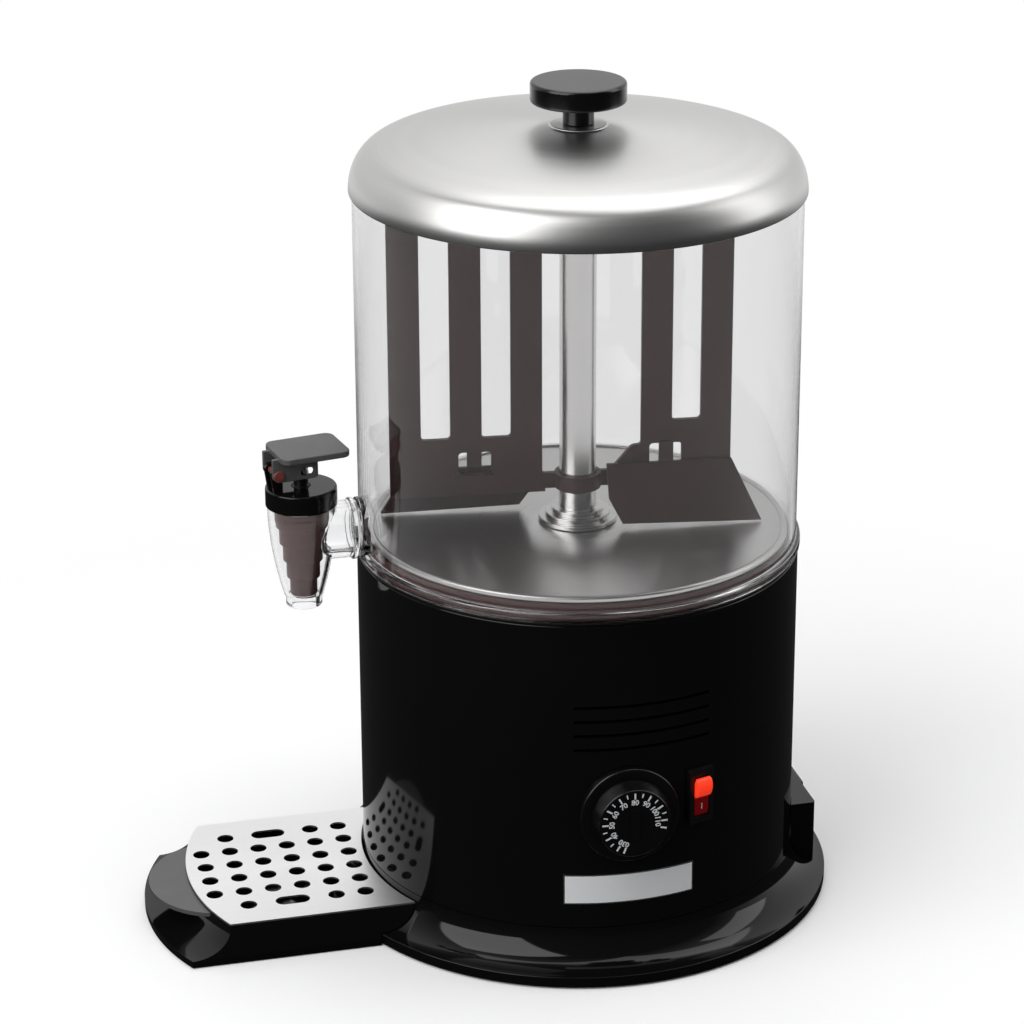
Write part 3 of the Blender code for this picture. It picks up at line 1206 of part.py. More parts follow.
def build_stirrer(stirrer_axis):
    half = WING_THICKNESS / 2
    hub_top = HUB_BOTTOM + HUB_HEIGHT
    outline = [(-LONG_WING_REACH, WING_BOTTOM), (-WING_INNER, WING_BOTTOM), (-WING_INNER, HUB_BOTTOM)]
    outline += [(WING_INNER, HUB_BOTTOM), (WING_INNER, WING_BOTTOM), (SHORT_WING_REACH, WING_BOTTOM)]
    outline += [(SHORT_WING_REACH, BRIDGE_TOP), (-LONG_WING_REACH, BRIDGE_TOP)]
    frame = side_prism("stirrer_frame", outline, -half, half, brown_plastic(), stirrer_axis)
    hub_bore = COLUMN_RADIUS + RUNNING_GAP
    hub_profile = [(0, HUB_BOTTOM), (hub_bore + HUB_WALL, HUB_BOTTOM), (hub_bore + HUB_WALL, hub_top)]
    join(frame, turned("hub", hub_profile + [(0, hub_top)], None, stirrer_axis, MEDIUM_SEGMENTS))
    join(frame, cylinder(
        "top_hub", TOP_HUB_RADIUS, TOP_HUB_BOTTOM, BRIDGE_TOP + SOCKET_ROOF / 2, None, stirrer_axis, MEDIUM_SEGMENTS
    ))
    pad_top = CLIP_WINDOW_BOTTOM - GAP
    for sign in (-1, 1):
        middle = sign * CLIP_CENTRE + min(sign, 0) * BLADE_SHIFT
        low = (middle - CLIP_PAD_WIDTH / 2, min(0, sign * (half + CLIP_PAD_PROUD)), pad_top - CLIP_PAD_HEIGHT)
        high = (middle + CLIP_PAD_WIDTH / 2, max(0, sign * (half + CLIP_PAD_PROUD)), pad_top)
        join(frame, block(f"clip_pad_{sign}", low, high, None, stirrer_axis))
    openings = tine_windows(LONG_WING_REACH, LONG_WEB_TOP, -1)
    openings += tine_windows(SHORT_WING_REACH, SHORT_WEB_TOP, 1)
    for sign in (-1, 1):
        middle = sign * CLIP_CENTRE + min(sign, 0) * BLADE_SHIFT
        left = middle - CLIP_WINDOW_WIDTH / 2
        openings.append((left, left + CLIP_WINDOW_WIDTH, CLIP_WINDOW_BOTTOM, CLIP_WINDOW_TOP))
    reach = OVERRUN
    for number, opening in enumerate(openings):
        left, right, bottom = opening[:3]
        top = opening[3] if len(opening) > 3 else BRIDGE_BOTTOM
        corner = TINE_WIDTH / 8
        middle = ((left + right) / 2, (bottom + top) / 2)
        window = rounded_rectangle(right - left, top - bottom, corner, middle)
        cut(frame, side_prism(f"window_{number}", window, -reach, reach, None, stirrer_axis))
    inner_left = -LONG_WING_REACH + 2 * TINE_PITCH + TINE_WIDTH
    inner_right = SHORT_WING_REACH - TINE_PITCH - TINE_WIDTH
    well = [(inner_left, hub_top), (WING_INNER, hub_top), (SHORT_WEB_INNER, SHORT_WEB_SHOULDER)]
    well += [(inner_right, SHORT_WEB_SHOULDER), (inner_right, BRIDGE_BOTTOM), (inner_left, BRIDGE_BOTTOM)]
    cut(frame, side_prism("column_well", well, -half - OVERRUN / 4, half + OVERRUN / 4, None, stirrer_axis))
    bore_top = TOP_HUB_BOTTOM - OVERRUN
    cut(frame, cylinder(
        "hub_bore", hub_bore, HUB_BOTTOM - OVERRUN, bore_top, None, stirrer_axis, MEDIUM_SEGMENTS
    ))
    socket = (SHAFT_SQUARE + SOCKET_PLAY) / 2
    socket_top = BRIDGE_TOP - SOCKET_ROOF / 2
    low = (-socket, -socket, TOP_HUB_BOTTOM - OVERRUN)
    cut(frame, block("drive_socket", low, (socket, socket, socket_top), None, stirrer_axis))


def build_blade(stirrer_axis, name, sign, shift):
    """A sloping scraper: its top edge lies along the wing and its foot sweeps the heater plate."""
    face = WING_THICKNESS / 2 + GAP
    foot_height = HEATER_PLATE_TOP + BLADE_CLEARANCE
    drop = BLADE_TOP - foot_height
    chamfer = BLADE_TOP - drop * BLADE_CHAMFER_SHARE

    def outward(height):
        return face + BLADE_SPREAD * (BLADE_TOP - height) / drop

    edge = [(BLADE_TOP_INNER, BLADE_TOP), (BLADE_TOP_INNER, chamfer), (BLADE_FOOT_INNER, foot_height)]
    edge += [(BLADE_FOOT_OUTER, foot_height), (BLADE_TOP_OUTER, BLADE_TOP)]
    rings = []
    for thickness in (0, BLADE_THICKNESS):
        rings.append([
            (sign * (x + shift), -sign * (outward(z) + thickness), z) for x, z in edge
        ])
    blade = loft(name, rings, brown_plastic(), stirrer_axis)
    middle = sign * (CLIP_CENTRE + shift)
    low = (middle - TAB_WIDTH / 2, min(-sign * face, -sign * (face + TAB_THICKNESS)), TAB_BOTTOM)
    high = (middle + TAB_WIDTH / 2, max(-sign * face, -sign * (face + TAB_THICKNESS)), TAB_TOP)
    join(blade, block(name + "_tab", low, high, None, stirrer_axis))


# Control panel


def build_dial(machine, dial_axis):
    """The dial's frame has its own +Z pointing out of the housing."""
    hidden = HOUSING_RADIUS - HOUSING_WALL
    bezel_face = HOUSING_RADIUS + BEZEL_PROUD
    profile = [(BEZEL_BORE_RADIUS, hidden), (BEZEL_RADIUS, hidden), (BEZEL_RADIUS, bezel_face - BEZEL_CHAMFER)]
    profile += [(BEZEL_RADIUS - BEZEL_CHAMFER, bezel_face), (BEZEL_BORE_RADIUS, bezel_face)]
    bezel = turned("dial_bezel", profile, black_gloss(), dial_axis)
    cut(bezel, housing_clearance("bezel_fit", machine))
    back = bezel_face + GAP
    front = back + DIAL_DEPTH
    dial = [(0, back), (DIAL_RADIUS, back), (DIAL_RADIUS, front - DIAL_CHAMFER)]
    dial += [(DIAL_RADIUS - DIAL_CHAMFER, front), (0, front)]
    knob = turned("thermostat_dial", dial, black_satin(), dial_axis)
    grip = rounded_rectangle(DIAL_GRIP_LENGTH, DIAL_GRIP_WIDTH, DIAL_GRIP_WIDTH / 4)
    grip_back = front - DIAL_GRIP_RISE
    join(knob, prism("dial_grip", grip, grip_back, front + DIAL_GRIP_RISE, None, dial_axis))
    bore = SPINDLE_RADIUS + GAP
    bite = back + SPINDLE_BITE
    cut(knob, cylinder("dial_bore", bore, back - OVERRUN, bite, None, dial_axis))
    sagitta = HOUSING_BORE - math.sqrt(HOUSING_BORE**2 - (THERMOSTAT_WIDTH / 2) ** 2)
    body_front = HOUSING_BORE * math.cos(math.pi / LARGE_SEGMENTS) - sagitta - GAP
    body_back = body_front - THERMOSTAT_DEPTH
    half_height = THERMOSTAT_HEIGHT / 2
    half_width = THERMOSTAT_WIDTH / 2
    low = (-half_height, -half_width, body_back)
    body = block("thermostat_body", low, (half_height, half_width, body_front), black_satin(), dial_axis)
    bevel(body, THERMOSTAT_BEVEL)
    neck_start = body_front - THERMOSTAT_BEVEL * 2
    neck_end = HOUSING_RADIUS + BEZEL_PROUD
    join(body, cylinder("thermostat_neck", NECK_RADIUS, neck_start, neck_end, None, dial_axis))
    bore_bottom = body_back + THERMOSTAT_DEPTH / 2
    cut(body, cylinder("spindle_bore", bore, bore_bottom, neck_end + OVERRUN, None, dial_axis))
    spindle_end = bite - GAP
    cylinder("thermostat_spindle", SPINDLE_RADIUS, bore_bottom + GAP, spindle_end, plain_steel(), dial_axis)


def housing_clearance(name, machine):
    """The housing's outside, grown by the gap, to cut what lies on it."""
    return cylinder(
        name, HOUSING_RADIUS + GAP, SKIRT_TOP, HOUSING_TOP, None, machine, LARGE_SEGMENTS
    )


def build_switch(machine, switch_axis, rocker_axis):
    """The switch's frame has +Z out of the housing and +X down."""
    face = HOUSING_RADIUS + SWITCH_FRAME_PROUD
    flange_outline = rounded_rectangle(SWITCH_FRAME_HEIGHT, SWITCH_FRAME_WIDTH, SWITCH_BEVEL * 2)
    flange_back = HOUSING_RADIUS - HOUSING_WALL
    body = prism("switch_body", flange_outline, flange_back, face, black_satin(), switch_axis)
    cut(body, housing_clearance("switch_fit", machine))
    shell = rounded_rectangle(SWITCH_BODY_HEIGHT, SWITCH_BODY_WIDTH, SWITCH_BEVEL)
    shell_back = HOUSING_RADIUS - SWITCH_BODY_DEPTH
    shell_front = face - SWITCH_FRAME_PROUD / 3
    join(body, prism("switch_shell", shell, shell_back, shell_front, None, switch_axis))
    well_height = ROCKER_HEIGHT + 2 * RUNNING_GAP
    well_width = ROCKER_WIDTH + 2 * RUNNING_GAP
    well = rounded_rectangle(well_height, well_width, RUNNING_GAP)
    cut(body, prism("rocker_well", well, face - ROCKER_WELL_DEPTH, face + OVERRUN, None, switch_axis))


def build_rocker(rocker_axis):
    """A V-topped rocker in the frame on its pin, tilted with its lower half pressed in."""
    half = ROCKER_HEIGHT / 2 - RUNNING_GAP
    crest = ROCKER_DEPTH / 2
    dip = crest / 2
    outline = [(-half, 0), (0, -crest), (half, 0), (half, crest)]
    outline += [(half / 2, crest - dip / 4), (0, dip), (-half / 2, crest - dip / 4), (-half, crest)]
    mesh = bmesh.new()
    extrude_outline(mesh, outline, -ROCKER_WIDTH / 2, ROCKER_WIDTH / 2)
    turn = Matrix(((1, 0, 0), (0, 0, -1), (0, 1, 0)))
    bmesh.ops.transform(mesh, verts=mesh.verts, matrix=turn.to_4x4())
    rocker = add_piece("switch_rocker", mesh, red_lens(), rocker_axis)
    place(rocker, (0, 0, 0), (0, ROCKER_TILT, 0))


def build_label(machine):
    inner = HOUSING_RADIUS + GAP
    outline = sector(inner, inner + LABEL_THICKNESS, LABEL_START, LABEL_END, LABEL_POINTS)
    prism("blank_plate", outline, LABEL_BOTTOM, LABEL_TOP, blank_label(), machine)


# Terminal box


def build_terminal_box(machine):
    low = (-BOX_HALF_WIDTH, HOUSING_BORE - BOX_HALF_WIDTH, RIM_TOP)
    box = block("terminal_box", low, (BOX_HALF_WIDTH, BOX_BACK, BOX_TOP), black_gloss(), machine)
    bevel(box, BOX_BEVEL, 2)
    cut(box, base_clearance("box_fit", GAP, machine))
    inner = BOX_HALF_WIDTH - BOX_WALL
    cavity_low = (-inner, HOUSING_BORE - BOX_HALF_WIDTH, BOX_FLOOR)
    cavity_high = (inner, BOX_BACK - BOX_WALL, BOX_TOP - BOX_WALL)
    cut(box, block("box_cavity", cavity_low, cavity_high, None, machine))
    half_width = INLET_WIDTH / 2 + GAP
    half_height = INLET_HEIGHT / 2 + GAP
    hole_low = (-half_width, BOX_BACK - BOX_WALL - OVERRUN / 2, INLET_CENTRE - half_height)
    hole_high = (half_width, BOX_BACK + OVERRUN, INLET_CENTRE + half_height)
    cut(box, block("inlet_hole", hole_low, hole_high, None, machine))


def build_inlet(machine):
    half_width = INLET_WIDTH / 2
    half_height = INLET_HEIGHT / 2
    flange_back = BOX_BACK + GAP
    flange_front = flange_back + INLET_FLANGE_THICKNESS
    low = (-half_width - INLET_FLANGE, flange_back, INLET_CENTRE - half_height - INLET_FLANGE)
    high = (half_width + INLET_FLANGE, flange_front, INLET_CENTRE + half_height + INLET_FLANGE)
    inlet = block("power_inlet", low, high, black_satin(), machine)
    body_back = flange_front - INLET_DEPTH
    body_low = (-half_width, body_back, INLET_CENTRE - half_height)
    body_high = (half_width, flange_front - INLET_FLANGE_THICKNESS / 2, INLET_CENTRE + half_height)
    join(inlet, block("inlet_body", body_low, body_high, None, machine))
    well_low = (-half_width + INLET_WALL, body_back + INLET_WALL, INLET_CENTRE - half_height + INLET_WALL)
    well_high = (half_width - INLET_WALL, flange_front + OVERRUN, INLET_CENTRE + half_height - INLET_WALL)
    cut(inlet, block("inlet_well", well_low, well_high, None, machine))
    for number in (-1, 0, 1):
        x = number * INLET_PIN_PITCH
        pin_low = (x - INLET_PIN_WIDTH / 2, body_back + INLET_WALL / 2, INLET_CENTRE - INLET_PIN_HEIGHT / 2)
        pin_front = flange_front - INLET_WALL
        pin_high = (x + INLET_PIN_WIDTH / 2, pin_front, INLET_CENTRE + INLET_PIN_HEIGHT / 2)
        join(inlet, block(f"inlet_pin_{number}", pin_low, pin_high, None, machine))


def build_terminal_block(machine):
    bottom = BOTTOM_PLATE_TOP + GAP
    low = (-TERMINAL_LENGTH / 2, TERMINAL_REACH - TERMINAL_WIDTH / 2, bottom)
    high = (TERMINAL_LENGTH / 2, TERMINAL_REACH + TERMINAL_WIDTH / 2, bottom + TERMINAL_HEIGHT)
    strip = block("terminal_block", low, high, blank_label(), machine)
    pitch = TERMINAL_LENGTH / TERMINAL_COUNT
    for number in range(TERMINAL_COUNT):
        x = (number - (TERMINAL_COUNT - 1) / 2) * pitch
        top = bottom + TERMINAL_HEIGHT
        hole = cylinder(
            f"terminal_hole_{number}", TERMINAL_HOLE_RADIUS, top - TERMINAL_HEIGHT / 2, top + OVERRUN, None, machine, 8
        )
        cut(strip, place(hole, (x, TERMINAL_REACH, 0)))


# Drip tray


def bowed_front(half_width, corner_reach, apex_reach, count):
    """Points from the left corner to the right one along the bowed front end."""
    bow = apex_reach - corner_reach
    radius = (half_width**2 + bow**2) / (2 * bow)
    half_turn = math.asin(half_width / radius)
    centre = (0, radius - apex_reach)
    return arc(centre, (radius, radius), -QUARTER_TURN - half_turn, -QUARTER_TURN + half_turn, count)


def tray_ring(height, half_width, corner_reach, apex_reach):
    outline = [(-half_width, -TRAY_ROOT)]
    outline += bowed_front(half_width, corner_reach, apex_reach, TRAY_ARC_POINTS)
    outline += [(half_width, -TRAY_ROOT)]
    return [(x, y, height) for x, y in outline]


def build_tray(tray_axis, machine):
    foot = (TRAY_FOOT_HALF_WIDTH, TRAY_FOOT_CORNER_REACH, TRAY_FOOT_APEX_REACH)
    rim = (TRAY_HALF_WIDTH, TRAY_CORNER_REACH, TRAY_APEX_REACH)
    foot_top = TRAY_BOTTOM + TRAY_FOOT_THICKNESS
    rings = [tray_ring(TRAY_BOTTOM, *foot), tray_ring(foot_top, *foot)]
    cove_rise = TRAY_TOP - foot_top
    for i in range(1, TRAY_COVE_POINTS):
        turn = QUARTER_TURN * i / TRAY_COVE_POINTS
        height = foot_top + cove_rise * (1 - math.cos(turn))
        lean = i / TRAY_COVE_POINTS
        width = foot[0] + (rim[0] - foot[0]) * (height - foot_top) / cove_rise
        drawn = math.sin(turn)
        corner = foot[1] + (rim[1] - foot[1]) * drawn
        apex = foot[2] + (rim[2] - foot[2]) * drawn
        rings.append(tray_ring(height, width, corner, apex))
    rings.append(tray_ring(TRAY_TOP, *rim))
    tray = loft("drip_tray", rings, black_gloss(), tray_axis)
    pull_reach = PULL_APEX_REACH - PULL_ROOT_REACH
    pull = arc((0, -PULL_ROOT_REACH), (PULL_HALF_WIDTH, pull_reach), -math.pi, 0, PULL_POINTS)
    join(tray, prism("tray_pull", pull, PULL_TOP - PULL_THICKNESS, PULL_TOP, None, tray_axis))
    inner_width = TRAY_HALF_WIDTH - TRAY_WALL
    cavity = [(-inner_width, -TRAY_ROOT)]
    inner_corner = TRAY_CORNER_REACH - TRAY_WALL
    inner_apex = TRAY_APEX_REACH - TRAY_WALL
    cavity += bowed_front(inner_width, inner_corner, inner_apex, TRAY_ARC_POINTS)
    cavity += [(inner_width, -TRAY_ROOT)]
    floor = TRAY_BOTTOM + TRAY_FLOOR
    well = prism("tray_well", cavity, floor, TRAY_TOP + OVERRUN, None, tray_axis)
    cut(well, base_clearance("tray_inner_fit", TRAY_GAP + TRAY_WALL, machine))
    cut(tray, well)
    cut(tray, base_clearance("tray_fit", TRAY_GAP, machine))


def hole_rows():
    """Reach and side of each round hole and slot of the plate."""
    for row in range(HOLE_ROWS):
        side = (row - (HOLE_ROWS - 1) / 2) * HOLE_PITCH
        edge_row = row in (0, HOLE_ROWS - 1)
        for column in range(HOLE_COLUMNS):
            reach = HOLE_FIRST_REACH + column * HOLE_PITCH
            if not edge_row:
                yield side, reach, 0
            elif column == SLOT_FIRST_COLUMN:
                yield side, reach + HOLE_PITCH / 2, HOLE_PITCH * SLOT_LENGTH_SHARE
            elif column not in (SLOT_FIRST_COLUMN + 1, HOLE_COLUMNS - 1):
                yield side, reach, 0


def build_drip_plate(plate_axis):
    half = TRAY_HALF_WIDTH
    front = bowed_front(half, TRAY_CORNER_REACH, TRAY_APEX_REACH, TRAY_ARC_POINTS)
    turn = math.asin(half / PLATE_INNER_RADIUS)
    inner_radii = (PLATE_INNER_RADIUS, PLATE_INNER_RADIUS)
    back = arc((0, 0), inner_radii, -QUARTER_TURN + turn, -QUARTER_TURN - turn, PLATE_INNER_POINTS)
    plate = prism("drip_plate", front + back, PLATE_BOTTOM, PLATE_TOP, brushed_steel(), plate_axis)
    flange_outer = half - TRAY_WALL - RUNNING_GAP
    flange_end = PLATE_FLANGE_START + PLATE_FLANGE_LENGTH
    for side in (-1, 1):
        edges = sorted((side * flange_outer, side * (flange_outer - PLATE_THICKNESS)))
        low = (edges[0], -flange_end, PLATE_BOTTOM - PLATE_FLANGE_DEPTH)
        high = (edges[1], -PLATE_FLANGE_START, PLATE_BOTTOM + PLATE_THICKNESS / 2)
        join(plate, block(f"plate_flange_{side}", low, high, None, plate_axis))
    holes = bmesh.new()
    for side, reach, stretch in hole_rows():
        half_turn = FULL_TURN / 2
        radii = (HOLE_RADIUS, HOLE_RADIUS)
        half_count = HOLE_SEGMENTS // 2 + 1
        outline = arc((side, -reach + stretch / 2), radii, 0, half_turn, half_count)
        lower = arc((side, -reach - stretch / 2), radii, half_turn, 2 * half_turn, half_count)
        outline += lower if stretch else lower[1:-1]
        extrude_outline(holes, outline, PLATE_BOTTOM - OVERRUN / 4, PLATE_TOP + OVERRUN)
    cut(plate, add_piece("plate_holes", holes, None, plate_axis))


# Assembly


def build_machine():
    clear_scene()
    machine = frame_empty("column_axis", None, (0, COLUMN_OFFSET, 0))
    dial_axis = radial_frame("dial_axis", machine, DIAL_AZIMUTH, DIAL_HEIGHT)
    switch_axis = radial_frame("switch_axis", machine, SWITCH_AZIMUTH, SWITCH_HEIGHT)
    rocker_reach = HOUSING_RADIUS + SWITCH_FRAME_PROUD - ROCKER_DEPTH / 4
    rocker_axis = frame_empty("rocker_axis", switch_axis, (0, 0, rocker_reach))
    stirrer_axis = frame_empty("stirrer_axis", machine, (0, 0, 0), (0, 0, STIRRER_TURN))
    lid_axis = frame_empty("lid_axis", machine)
    tray_axis = frame_empty("tray_axis", machine)
    plate_axis = frame_empty("plate_axis", tray_axis)
    tap_axis = frame_empty("tap_axis", machine, (0, -TAP_REACH, 0), (0, 0, TAP_TURN))
    lever_axis = frame_empty("lever_axis", tap_axis, (0, -PIVOT_REACH, PIVOT_HEIGHT))

    build_skirt(machine)
    build_bottom_plate(machine)
    build_feet(machine)
    build_housing(machine, dial_axis, switch_axis)
    build_deck(machine)

    build_bath(machine)
    build_element(machine)
    build_heater_plate(machine)
    build_centre_flange(machine)
    build_column(machine)
    build_shaft(stirrer_axis)
    build_motor(machine)

    flange_start = build_jar(machine)
    build_tap_body(tap_axis, TAP_REACH - flange_start)
    build_tap_cap(tap_axis)
    build_lever(tap_axis, lever_axis)
    build_pins(tap_axis)
    build_plunger(tap_axis)

    build_lid(lid_axis)
    build_knob(lid_axis)

    build_stirrer(stirrer_axis)
    build_blade(stirrer_axis, "scraper_blade_short_wing", 1, 0)
    build_blade(stirrer_axis, "scraper_blade_long_wing", -1, BLADE_SHIFT)

    build_dial(machine, dial_axis)
    build_switch(machine, switch_axis, rocker_axis)
    build_rocker(rocker_axis)
    build_label(machine)
    build_terminal_box(machine)
    build_inlet(machine)
    build_terminal_block(machine)

    build_tray(tray_axis, machine)
    build_drip_plate(plate_axis)


build_machine()
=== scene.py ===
"""Looks of the five litre hot chocolate dispenser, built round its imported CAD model."""

import math

import bmesh
import bpy
from mathutils import Matrix, Vector


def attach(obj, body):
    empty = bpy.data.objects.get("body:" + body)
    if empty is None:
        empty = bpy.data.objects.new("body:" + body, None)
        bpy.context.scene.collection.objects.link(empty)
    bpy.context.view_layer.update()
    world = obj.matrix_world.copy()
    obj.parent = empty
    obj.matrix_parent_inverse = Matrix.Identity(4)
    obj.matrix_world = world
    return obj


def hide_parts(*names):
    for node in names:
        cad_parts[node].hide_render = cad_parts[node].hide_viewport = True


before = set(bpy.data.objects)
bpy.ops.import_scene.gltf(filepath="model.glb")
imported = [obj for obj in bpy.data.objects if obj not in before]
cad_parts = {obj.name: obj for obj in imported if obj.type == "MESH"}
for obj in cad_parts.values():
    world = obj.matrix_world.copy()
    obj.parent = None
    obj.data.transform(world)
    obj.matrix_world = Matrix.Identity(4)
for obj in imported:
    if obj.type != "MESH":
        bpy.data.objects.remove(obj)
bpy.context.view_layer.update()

QUARTER_TURN = math.pi / 2
FULL_TURN = 2 * math.pi

# Clearances and facets
GAP = 0.0003
RUNNING_GAP = 0.0004
OVERRUN = 0.010
LARGE_SEGMENTS = 192
MEDIUM_SEGMENTS = 96
SMALL_SEGMENTS = 48

# Base and housing
BASE_RADIUS = 0.1412
RIM_CLEARANCE = 0.0010
RIM_TOP = 0.0070
RIM_WALL = 0.0030
SKIRT_TOP = 0.0260
COLLAR_HEIGHT = 0.0080
COLLAR_WALL = 0.0030
HOUSING_RADIUS = 0.1212
HOUSING_WALL = 0.0025
HOUSING_TOP = 0.2020
VENT_LOW_HEIGHT = 0.1312
VENT_PITCH = 0.0081
VENT_SLOT = 0.0018
VENT_COUNT = 4
VENT_START = math.radians(-15.5)
VENT_END = math.radians(20.5)

# Deck, heater plate, gasket and centre flange
DECK_THICKNESS = 0.0013
DECK_BORE_RADIUS = 0.1065
DECK_SPIGOT_WALL = 0.0027
DECK_SPIGOT_DEPTH = 0.0070
HEATER_PLATE_TOP = 0.2150
HEATER_PLATE_THICKNESS = 0.0015
HEATER_PLATE_RADIUS = 0.1150
BEAD_WIDTH = 0.0035
BEAD_RISE = 0.0014
GASKET_WIDTH = 0.0046
FLANGE_RADIUS = 0.0214
FLANGE_TOP_RADIUS = 0.0143
FLANGE_STEP_COUNT = 3
FLANGE_STEP_RISE = 0.0025
SLEEVE_RADIUS = 0.0103
COLUMN_RADIUS = 0.0100
COLUMN_STUB_RADIUS = 0.0080
COLUMN_STUB_BOTTOM = 0.1397
COLUMN_TOP = 0.3830
COLUMN_BORE_RADIUS = 0.0048
BUSH_RADIUS = 0.0062
BUSH_LENGTH = 0.0120

# Jar and tap
JAR_RADIUS = 0.120
JAR_WALL = 0.0030
JAR_TOP = 0.4090
JAR_LIP_RADIUS = 0.1222
JAR_LIP_HEIGHT = 0.0050
JAR_BOSS_RADIUS = 0.0168
JAR_BOSS_PROUD = 0.0032
TAP_REACH = 0.1530
TAP_TURN = math.radians(10)
OUTLET_HEIGHT = 0.1800
OUTLET_RADIUS = 0.0098
OUTLET_BORE_RADIUS = 0.0066
OUTLET_LIP_HEIGHT = 0.0042
SEAT_HEIGHT = 0.1867
TAP_SHOULDER_HEIGHT = 0.2375
TAP_TOP_RADIUS = 0.0184
TAP_WALL = 0.0022
TAP_BULGE_SHARE = 0.85
TAP_NECK_RADIUS = 0.0164
TAP_NECK_HEIGHT = 0.0080
STEM_HEIGHT = 0.2212
STEM_RADIUS = 0.0156
STEM_BORE_RADIUS = 0.0110
STEM_FLANGE_RADIUS = 0.0168
STEM_FLANGE_THICKNESS = 0.0024
STEM_SEAL_THICKNESS = 0.0010
CAP_RADIUS = 0.0193
CAP_TOP = 0.2485
CAP_ROOF_THICKNESS = 0.0020
CAP_BORE_RADIUS = 0.0052
EAR_THICKNESS = 0.0026
EAR_SPACING = 0.0092
EAR_WIDTH = 0.0064
PIVOT_HEIGHT = 0.2590
PIVOT_REACH = 0.0155
PIN_RADIUS = 0.0016
PIN_HEAD_RADIUS = 0.0030
PIN_HEAD_THICKNESS = 0.0014
LEVER_TOP = 0.2700
LEVER_THICKNESS = 0.0034
LEVER_WIDTH = 0.0324
LEVER_LENGTH = 0.0385
LEVER_FRONT = 0.0150
LEVER_CORNER = 0.0050
CHEEK_THICKNESS = 0.0024
CHEEK_FRONT = 0.0030
CHEEK_REAR = 0.0070
CHEEK_DROP = 0.0042
LIFT_SLOT_LENGTH = 0.0030
LIFT_SLOT_PLAY = 0.0006
PLUNGER_ROD_RADIUS = 0.0046
PLUNGER_HEAD_RADIUS = 0.0040
PLUNGER_HEAD_TOP = 0.2635
PLUNGER_FOOT_DEPTH = 0.0250
PLUNGER_FOOT_RADIUS = 0.0030
BELLOWS_TOP = 0.2360
BELLOWS_TOP_RADIUS = 0.0142
BELLOWS_FOOT_RADIUS = 0.0074
BELLOWS_STEP_COUNT = 5
BELLOWS_CORNER = 0.0009

# Lid and knob
LID_RIM_HEIGHT = 0.4036
LID_RADIUS = 0.1218
LID_WALL = 0.0012
LID_SHOULDER_WIDTH = 0.0167
LID_SHOULDER_RISE = 0.0236
LID_SHOULDER_TURN = math.radians(81)
LID_CROWN_RISE = 0.0103
LID_BOSS_RADIUS = 0.0150
LID_BOSS_RISE = 0.0008
LID_POINT_SPACING = 0.0010
SHOULDER_POINTS = 60
CROWN_POINTS = 100
# The joint of shoulder and crown is eased over this many points to each side
EASE_REACH = 22
EASE_STRENGTH = 0.25
EASE_PASSES = 26
SEAT_RING_WALL = 0.0024
SEAT_RING_THICKNESS = 0.0020
KNOB_RADIUS = 0.0256
KNOB_TOP = 0.4610
KNOB_THICKNESS = 0.0113
KNOB_ROUNDING = 0.0020
KNOB_STEM_RADIUS = 0.0083
KNOB_SCREW_RADIUS = 0.0020

# Stirrer
STIRRER_TURN = math.radians(84)
LONG_WING_REACH = 0.1027
SHORT_WING_REACH = 0.0848
TINE_WIDTH = 0.0170
TINE_PITCH = 0.0330
WING_THICKNESS = 0.0030
WING_BOTTOM = 0.2322
LONG_WEB_TOP = 0.2650
SHORT_WEB_TOP = 0.2700
SHORT_WEB_INNER = 0.0300
SHORT_WEB_SHOULDER = 0.2565
WING_INNER = 0.0180
HUB_BOTTOM = 0.2340
HUB_HEIGHT = 0.0088
HUB_WALL = 0.0024
BRIDGE_BOTTOM = 0.3880
BRIDGE_TOP = 0.3970
TOP_HUB_RADIUS = 0.0120
TOP_HUB_BOTTOM = 0.3842
SHAFT_SQUARE = 0.0068
SOCKET_PLAY = 0.0008
SOCKET_ROOF = 0.0030
CLIP_WINDOW_WIDTH = 0.0180
CLIP_WINDOW_BOTTOM = 0.2440
CLIP_WINDOW_TOP = 0.2570
CLIP_CENTRE = 0.0485
CLIP_PAD_WIDTH = 0.0230
CLIP_PAD_HEIGHT = 0.0085
CLIP_PAD_PROUD = 0.0014
BLADE_SHIFT = 0.0080
BLADE_THICKNESS = 0.0024
BLADE_TOP = 0.2470
BLADE_SPREAD = 0.0165
BLADE_CLEARANCE = 0.0012
BLADE_FOOT_RISE = 0.0016
BLADE_TOP_INNER = 0.0155
BLADE_TOP_OUTER = 0.0850
BLADE_FOOT_INNER = 0.0220
BLADE_FOOT_OUTER = 0.0990
BLADE_CHAMFER_SHARE = 0.55
TAB_WIDTH = 0.0080
TAB_THICKNESS = 0.0018
TAB_TOP = 0.2585
TAB_BOTTOM = 0.2405

# Control panel
DIAL_AZIMUTH = math.radians(-1.5)
DIAL_HEIGHT = 0.0935
BEZEL_RADIUS = 0.0270
BEZEL_PROUD = 0.0036
BEZEL_BORE_RADIUS = 0.0120
BEZEL_CHAMFER = 0.0014
DIAL_RADIUS = 0.0215
DIAL_DEPTH = 0.0095
DIAL_FACE_RADIUS = 0.0192
DIAL_TICK_REACH = 0.0177
LONG_TICK = 0.0034
LONG_TICK_WIDTH = 0.00096
SHORT_TICK = 0.0023
SHORT_TICK_WIDTH = 0.00068
PRINT_SINK = 0.0001
PRINT_THICKNESS = 0.00008
DIAL_NUMERAL_REACH = 0.0123
DIAL_NUMERAL_SIZE = 0.0041
NUMERAL_WEIGHT = 0.022
